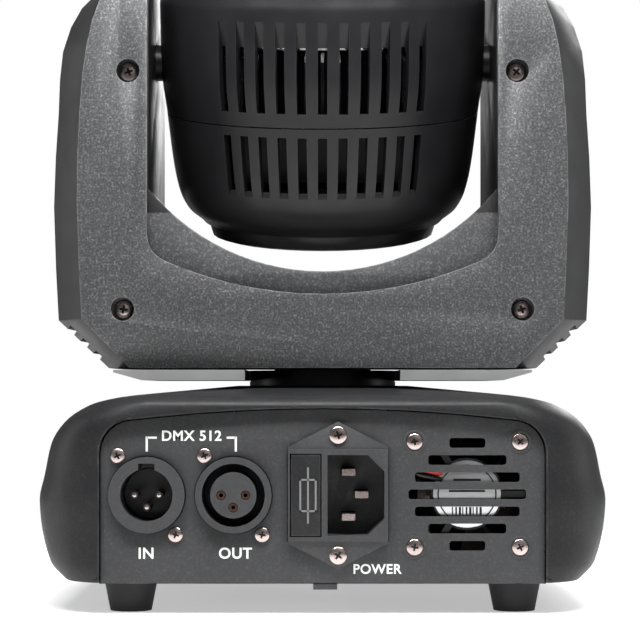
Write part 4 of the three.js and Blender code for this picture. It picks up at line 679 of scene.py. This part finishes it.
# ---- Rear fan ----
HUB_LABEL = 10.3  # radius
HUB_LABEL_GAP = 0.2  # from the fan's front
HUB_LABEL_EDGE = ((0, -0.2), (HUB_LABEL, -0.2), (HUB_LABEL, 0), (HUB_LABEL - 0.2, 0.12), (0, 0.12))
HUB_RING = ((8.6, 0), (9.0, 0), (9.0, 0.2), (8.6, 0.2))
HUB_SIDES = 64
PRINT = (0.1, 0.2)  # heights of the printed marks over the foil
BARS, BAR_PITCH, BAR_LEFT = 9, 1.05, -4.6
PRINTED_ROWS = (5.5, 6.8, 4.2)  # half lengths
ROW_PITCH, ROW_WIDTH, FIRST_ROW = 1.7, 0.7, 0.6
LEAD_RADIUS = 0.75
LEAD_START = 6  # over the fan's middle
# How far the leads run to the left, back and up from the hub's edge.
LEAD_PATH = ((4, 1, 0), (-1, -0.7, 1), (-6, -0.5, 2.5), (-11, 3, 7))


def wire(name, points, radius, look, body):
    """A round lead through points."""
    curve = bpy.data.curves.new(name, "CURVE")
    curve.dimensions = "3D"
    curve.bevel_depth = radius * MM
    curve.bevel_resolution = 4
    curve.resolution_u = 8
    curve.use_fill_caps = True
    spline = curve.splines.new("BEZIER")
    spline.bezier_points.add(len(points) - 1)
    for knot, point in zip(spline.bezier_points, points):
        knot.co = Vector(point) * MM
        knot.handle_left_type = knot.handle_right_type = "AUTO"
    mesh = settled(link(name + "_curve", curve), name)
    mesh.shade_smooth()
    return place_piece(name, mesh, look, body)


def make_fan_details():
    """A foil disc on the still hub of the fan with plain printed marks, and two leads."""
    fan = middle_of("base_fan_frame")
    front = corners("base_fan_frame")[0].y - HUB_LABEL_GAP
    place = facing(fan.x, front, fan.z)
    disc = mesh_of(lathe(HUB_LABEL_EDGE, HUB_SIDES), "disc")
    place_piece("fan_hub_label", disc, "foil", "base", place)
    ring = mesh_of(lathe(HUB_RING, HUB_SIDES), "ring")
    place_piece("fan_hub_ring", ring, "black_plastic", "base", place)
    bm = bmesh.new()
    for index in range(BARS):
        left = BAR_LEFT + BAR_PITCH * index
        width = 0.35 + 0.35 * (index * 7 % 3) / 2
        add_block(bm, left, left + width, -6.4, -3.9, *PRINT)
    for row, half in enumerate(PRINTED_ROWS):
        foot = FIRST_ROW + ROW_PITCH * row
        add_block(bm, -half, half, foot, foot + ROW_WIDTH, *PRINT)
    marks = mesh_of(bm, "marks")
    place_piece("fan_hub_marks", marks, "black_plastic", "base", place)
    for name, look, drop in (("fan_lead_red", "red_wire", 0),
                             ("fan_lead_black", "black_plastic", 1.8)):
        start = Vector((fan.x - HUB_LABEL, front, fan.z + LEAD_START - drop))
        path = [start + Vector(step) for step in LEAD_PATH]
        wire(name, path, LEAD_RADIUS, look, "base")


make_fan_details()

# ---- Connector details ----
CONTACT_PLACES = ((-3.7, 0), (3.7, 0), (0, -3.7))  # across and up from a connector's middle
# Profile over the front of the insert and look, for the male and the female connector.
CONTACTS = {
    "in": (((0, -11.9), (1.16, -11.9), (1.16, -0.6), (0.95, -0.15), (0.5, 0.06), (0, 0.06)), "steel"),
    "out": (((0.6, -8), (1.46, -8), (1.46, -0.5), (1.3, -0.3), (0.6, -0.3)), "socket_brown"),
}
CONTACT_SIDES = 32
FUSE_MARK_INSET = 5.2  # from the drawer's left edge to the mark's middle
FUSE_HALF, FUSE_LENGTH, LEAD_LENGTH = 2.6, 5, 8.5  # half sizes of the mark's box and line
FUSE_LINE = 0.55
FUSE_MARK_RISE = 0.12


def make_connector_details():
    """Bright pins in the male connector, brown contacts in the female one, and the fuse mark."""
    for side, (profile, look) in CONTACTS.items():
        node = "xlr_%s_insert" % side
        middle, front = middle_of(node), corners(node)[0].y
        for number, (across, up) in enumerate(CONTACT_PLACES, 1):
            contact = mesh_of(lathe(profile, CONTACT_SIDES), "contact")
            place_piece("xlr_%s_contact_%d" % (side, number), contact, look, "base",
                        facing(middle.x + across, front, middle.z + up))
    low, high = corners("fuse_drawer")
    across, middle = low.x + FUSE_MARK_INSET, (low.z + high.z) / 2
    bm = bmesh.new()
    for left, right, bottom, top in (
            (-FUSE_HALF, FUSE_LINE - FUSE_HALF, -FUSE_LENGTH, FUSE_LENGTH),
            (FUSE_HALF - FUSE_LINE, FUSE_HALF, -FUSE_LENGTH, FUSE_LENGTH),
            (-FUSE_HALF, FUSE_HALF, -FUSE_LENGTH, FUSE_LINE - FUSE_LENGTH),
            (-FUSE_HALF, FUSE_HALF, FUSE_LENGTH - FUSE_LINE, FUSE_LENGTH),
            (-FUSE_LINE / 2, FUSE_LINE / 2, -LEAD_LENGTH, LEAD_LENGTH)):
        add_block(bm, across + left, across + right, low.y - FUSE_MARK_RISE, low.y + FUSE_MARK_RISE,
                  middle + bottom, middle + top)
    place_piece("fuse_mark", mesh_of(bm, "mark"), "ink_grey", "fuse_carrier")


make_connector_details()

# ---- Finer skins over the faceted CAD ----
# The housing's sections from its bottom edge up: height share, how far the sides and the ends come
# in, and the corner radius.
HOUSING_SECTIONS = (
    (0, 9.5, 0.5, 17), (0.09, 4, 0, 22), (0.29, 0.5, 0, 27), (0.41, 0, 0, 27), (0.53, 1.5, 0, 27),
    (0.7, 4, 0, 24), (0.81, 8.5, 0, 20), (0.9, 16.5, 0.8, 18), (0.94, 25.8, 3.5, 16),
    (0.98, 48.5, 28, 20), (1, 60.5, 44, 27),
)
SECTION_STEPS = 4
CORNER_STEPS = 10
HOUSING_WALL = 2.7
HOUSING_EDGE = 0.5
GAP = 0.3  # round the panel
THROUGH = 2  # how far a cutter reaches past what it cuts
PANEL_CORNER = 10.0
PANEL_ARCH = 3.4  # how far the upper edge falls from its middle to its shoulders
FRONT_RIM = 3.0  # of the front panel behind the edge of its window
FRONT_CORNER = 4
NECK_HOLE = 24.8
NECK_HOLE_DEPTH = 8


def smooth_steps(rows, steps):
    """Rows of numbers with steps new rows between each two, on a curve that never overshoots."""
    count = len(rows)
    reaches = [rows[i + 1][0] - rows[i][0] for i in range(count - 1)]
    rises = [[(b - a) / reach for a, b in zip(rows[i], rows[i + 1])]
             for i, reach in enumerate(reaches)]
    slopes = [rises[0]]
    for before, after in zip(rises, rises[1:]):
        slopes.append([2 * p * q / (p + q) if p * q > 0 else 0 for p, q in zip(before, after)])
    slopes.append(rises[-1])
    made = []
    for i, reach in enumerate(reaches):
        for step in range(steps):
            t = step / steps
            here, leave = 2 * t**3 - 3 * t**2 + 1, t**3 - 2 * t**2 + t
            there, arrive = -2 * t**3 + 3 * t**2, t**3 - t**2
            ends = zip(rows[i], slopes[i], rows[i + 1], slopes[i + 1])
            made.append([here * a + leave * reach * m + there * b + arrive * reach * n
                         for a, m, b, n in ends])
    return made + [list(rows[-1])]


def rounded_ring(half_x, half_y, radius, height):
    points = []
    for sign_x, sign_y, start in ((1, -1, 270), (1, 1, 0), (-1, 1, 90), (-1, -1, 180)):
        for step in range(CORNER_STEPS + 1):
            turn = math.radians(start + 90 * step / CORNER_STEPS)
            x = sign_x * (half_x - radius) + radius * math.cos(turn)
            y = sign_y * (half_y - radius) + radius * math.sin(turn)
            points.append(Vector((x, y, height)) * MM)
    return points


def skin(rings):
    """A closed skin over rings of as many points each."""
    bm = bmesh.new()
    made = [[bm.verts.new(point) for point in ring] for ring in rings]
    for first, second in zip(made, made[1:]):
        for i in range(len(first)):
            after = (i + 1) % len(first)
            bm.faces.new((first[i], first[after], second[after], second[i]))
    bm.faces.new(made[0])
    bm.faces.new(made[-1])
    return bm


def prism(outline, low, high):
    """A closed outline of (x, z) points pushed along Y."""
    bm = bmesh.new()
    add_prism(bm, *([bm.verts.new(Vector((x, y, z)) * MM) for x, z in outline]
                    for y in (low, high)))
    return bm


def arc(x, z, radius, start, end, steps=12):
    turns = (math.radians(start + (end - start) * step / steps) for step in range(steps + 1))
    return [(x + radius * math.cos(turn), z + radius * math.sin(turn)) for turn in turns]


def window_outline(left, right, bottom, top, corner):
    """A rounded rectangle."""
    return (arc(right - corner, bottom + corner, corner, -90, 0)
            + arc(right - corner, top - corner, corner, 0, 90)
            + arc(left + corner, top - corner, corner, 90, 180)
            + arc(left + corner, bottom + corner, corner, 180, 270))


def panel_outline():
    """The hole for the rear panel: open below, with rounded shoulders and an arched upper edge."""
    low, high = corners("rear_panel")
    half, top, bottom = high.x + GAP, high.z + GAP, low.z - THROUGH
    straight = half - PANEL_CORNER
    radius = (straight**2 + PANEL_ARCH**2) / (2 * PANEL_ARCH)
    lean = math.degrees(math.asin(straight / radius))
    shoulder = top - PANEL_ARCH - PANEL_CORNER
    return ([(-half, bottom), (half, bottom)] + arc(straight, shoulder, PANEL_CORNER, 0, 90)
            + arc(0, top - radius, radius, 90 - lean, 90 + lean, 24)[1:-1]
            + arc(-straight, shoulder, PANEL_CORNER, 90, 180))


def bevel_edges(mesh, width):
    """Rounds the sharp edges of a mesh and returns a new one."""
    piece = link("bevel_body", mesh)
    flat = piece.modifiers.new("flat", "DECIMATE")
    flat.decimate_type = "DISSOLVE"
    flat.angle_limit = math.radians(0.3)
    bevel = piece.modifiers.new("edges", "BEVEL")
    bevel.width = width * MM
    bevel.segments = 3
    bevel.angle_limit = math.radians(40)
    bevel.use_clamp_overlap = False
    return smooth(settled(piece, mesh.name))


def housing_rings(wall):
    """Rings of points up the housing's skin, set in by the wall."""
    low, high = corners("base_shell")
    rows = smooth_steps([(share * (high.z - low.z), high.x - side, high.y - end, corner)
                         for share, side, end, corner in HOUSING_SECTIONS], SECTION_STEPS)
    made = []
    for i, (height, wide, deep, corner) in enumerate(rows):
        below, above = rows[max(i - 1, 0)], rows[min(i + 1, len(rows) - 1)]
        lean = math.atan2(below[1] - above[1], above[0] - below[0])
        inwards = wall * math.cos(lean)
        made.append(rounded_ring(wide - inwards, deep - inwards, max(corner - inwards, 1),
                                 low.z + height - wall * math.sin(lean)))
    return made


def make_housing():
    low, high = corners("base_shell")
    inner = housing_rings(HOUSING_WALL)
    inner.insert(0, [point - Vector((0, 0, THROUGH * MM)) for point in inner[0]])
    shell = cut(mesh_of(skin(housing_rings(0)), "shell"), mesh_of(skin(inner), "hollow"), "shell")
    panel_back = corners("rear_panel")[1].y + GAP
    hole = prism(panel_outline(), low.y - THROUGH, panel_back)
    shell = cut(shell, mesh_of(hole, "hole"), "shell")
    near, far = corners("front_panel")
    window = window_outline(near.x + FRONT_RIM, far.x - FRONT_RIM, near.z + FRONT_RIM,
                            far.z - FRONT_RIM, FRONT_CORNER)
    shell = cut(shell, mesh_of(prism(window, near.y, high.y + THROUGH), "window"), "shell")
    bottom, top = high.z - NECK_HOLE_DEPTH, high.z + THROUGH
    neck = lathe([(0, bottom), (NECK_HOLE, bottom), (NECK_HOLE, top), (0, top)], 96)
    shell = cut(shell, mesh_of(neck, "neck"), "shell")
    shell = bevel_edges(shell, HOUSING_EDGE)
    piece = place_piece("base_housing", shell, "housing", "base")
    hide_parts("base_shell")


make_housing()

# ---- Head: heights are along its own axis, from the tilt axis towards the lenses ----
TILT_Z = 176.713
HEAD_LEAN = 13  # degrees
HEAD = (Matrix.Translation(Vector((0, 0, TILT_Z)) * MM)
        @ Matrix.Rotation(math.radians(HEAD_LEAN), 4, "X"))
HEAD_RADIUS = 53.7
HEAD_WALL = 2.2
HEAD_SIDES = 160
# Heights and radii of the two shells, from below.
TAIL_ROWS = ((-51, 41), (-47.7, 45), (-42.3, 47.8), (-33.8, 49.7), (-16.2, 51.8))
BODY_ROWS = ((-15.8, 51.8), (0, 53.6), (20, 53.7), (24, 52.7))
ROW_STEPS = 5
TAIL_END = -52.3
TAIL_HOLE = 32.8
AXLE_BORE = 8.5
VENT_COUNT = 11
VENT_PITCH = 7.2
VENT_WIDTH = 2.9
VENT_REACH = 9  # how far a cutter goes into the shell
VENT_FLOOR = 1.6  # depth of the ramp where it meets the slot
VENT_STAND = 0.3  # height of the ramp's end over the surface
# Heights of the open end, the closed end and the end of the ramp, and the inset of the surface.
TAIL_VENTS = (-19, -37, -43.5, 3.8)
BODY_VENTS = (-11.5, 9, 17, 0.4)
DUCT_RADIUS = 44
DUCT_LOW, DUCT_HIGH = -20, 4
FIN_COUNT, FIN_PITCH, FIN_HALF = 15, 5.2, 0.5
CORE_HALF_X, CORE_HALF_Y = 39, 3
CORE_STAND = 0.5  # of the core past the fins


def vents(open_end, closed_end, ramp, inset):
    """Cutters for one row of vents on both sides of the head, with a ramp from the closed end."""
    surface = HEAD_RADIUS - inset
    inside, outside = surface - VENT_REACH, surface + VENT_REACH
    outline = ((inside, open_end), (inside, closed_end), (surface - VENT_FLOOR, closed_end),
               (surface + VENT_STAND, ramp), (outside, ramp), (outside, open_end))
    bm = bmesh.new()
    for side in (-90, 90):
        for index in range(VENT_COUNT):
            turn_deg = side + (index - (VENT_COUNT - 1) / 2) * VENT_PITCH
            turn = Matrix.Rotation(math.radians(turn_deg), 4, "Z")
            add_prism(bm, *([bm.verts.new(turn @ Vector((r, across, z)) * MM) for r, z in outline]
                            for across in (-VENT_WIDTH / 2, VENT_WIDTH / 2)))
    return mesh_of(bm, "vents")


def walled(rows, floor):
    """A closed outline for a shell from its outer rows, a wall inside them and a floor."""
    outer = [(radius, z) for z, radius in smooth_steps(rows, ROW_STEPS)]
    inner = [(radius - HEAD_WALL, z) for radius, z in reversed(outer)]
    return outer + inner[:-1] + floor


def make_head_shells():
    top = TAIL_END + HEAD_WALL
    floor = [(TAIL_HOLE + 8, top + 1.5), (TAIL_HOLE, top), (TAIL_HOLE, TAIL_END),
             (TAIL_HOLE + 7, TAIL_END)]
    tail = mesh_of(lathe(walled(TAIL_ROWS, floor), HEAD_SIDES), "tail")
    tail = cut(tail, vents(*TAIL_VENTS), "tail")
    low, radius = BODY_ROWS[0]
    body = mesh_of(lathe(walled(BODY_ROWS, [(radius - HEAD_WALL, low)]), HEAD_SIDES), "body")
    body = cut(body, vents(*BODY_VENTS), "body")
    bore = bmesh.new()
    along = Matrix.Rotation(math.radians(90), 4, "Y")
    bmesh.ops.create_cone(bore, cap_ends=True, segments=64, radius1=AXLE_BORE * MM,
                          radius2=AXLE_BORE * MM, depth=0.13, matrix=along)
    body = cut(body, mesh_of(bore, "bore"), "body")
    for name, mesh in (("tail", tail), ("body", body)):
        piece = place_piece("head_%s_skin" % name, mesh, "head_shell", "head", HEAD)
        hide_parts("head_%s_shell" % name)


def make_head_inside():
    """The dark finned duct between the fan and the heat sink."""
    bm = bmesh.new()
    for index in range(FIN_COUNT):
        across = (index - (FIN_COUNT - 1) / 2) * FIN_PITCH
        reach = math.sqrt(DUCT_RADIUS**2 - across**2)
        add_block(bm, across - FIN_HALF, across + FIN_HALF, -reach, reach, DUCT_LOW, DUCT_HIGH)
    add_block(bm, -CORE_HALF_X, CORE_HALF_X, -CORE_HALF_Y, CORE_HALF_Y, DUCT_LOW - CORE_STAND,
              DUCT_HIGH + CORE_STAND)
    place_piece("head_duct", mesh_of(bm, "duct"), "black_anodised", "head", HEAD)


make_head_shells()
make_head_inside()
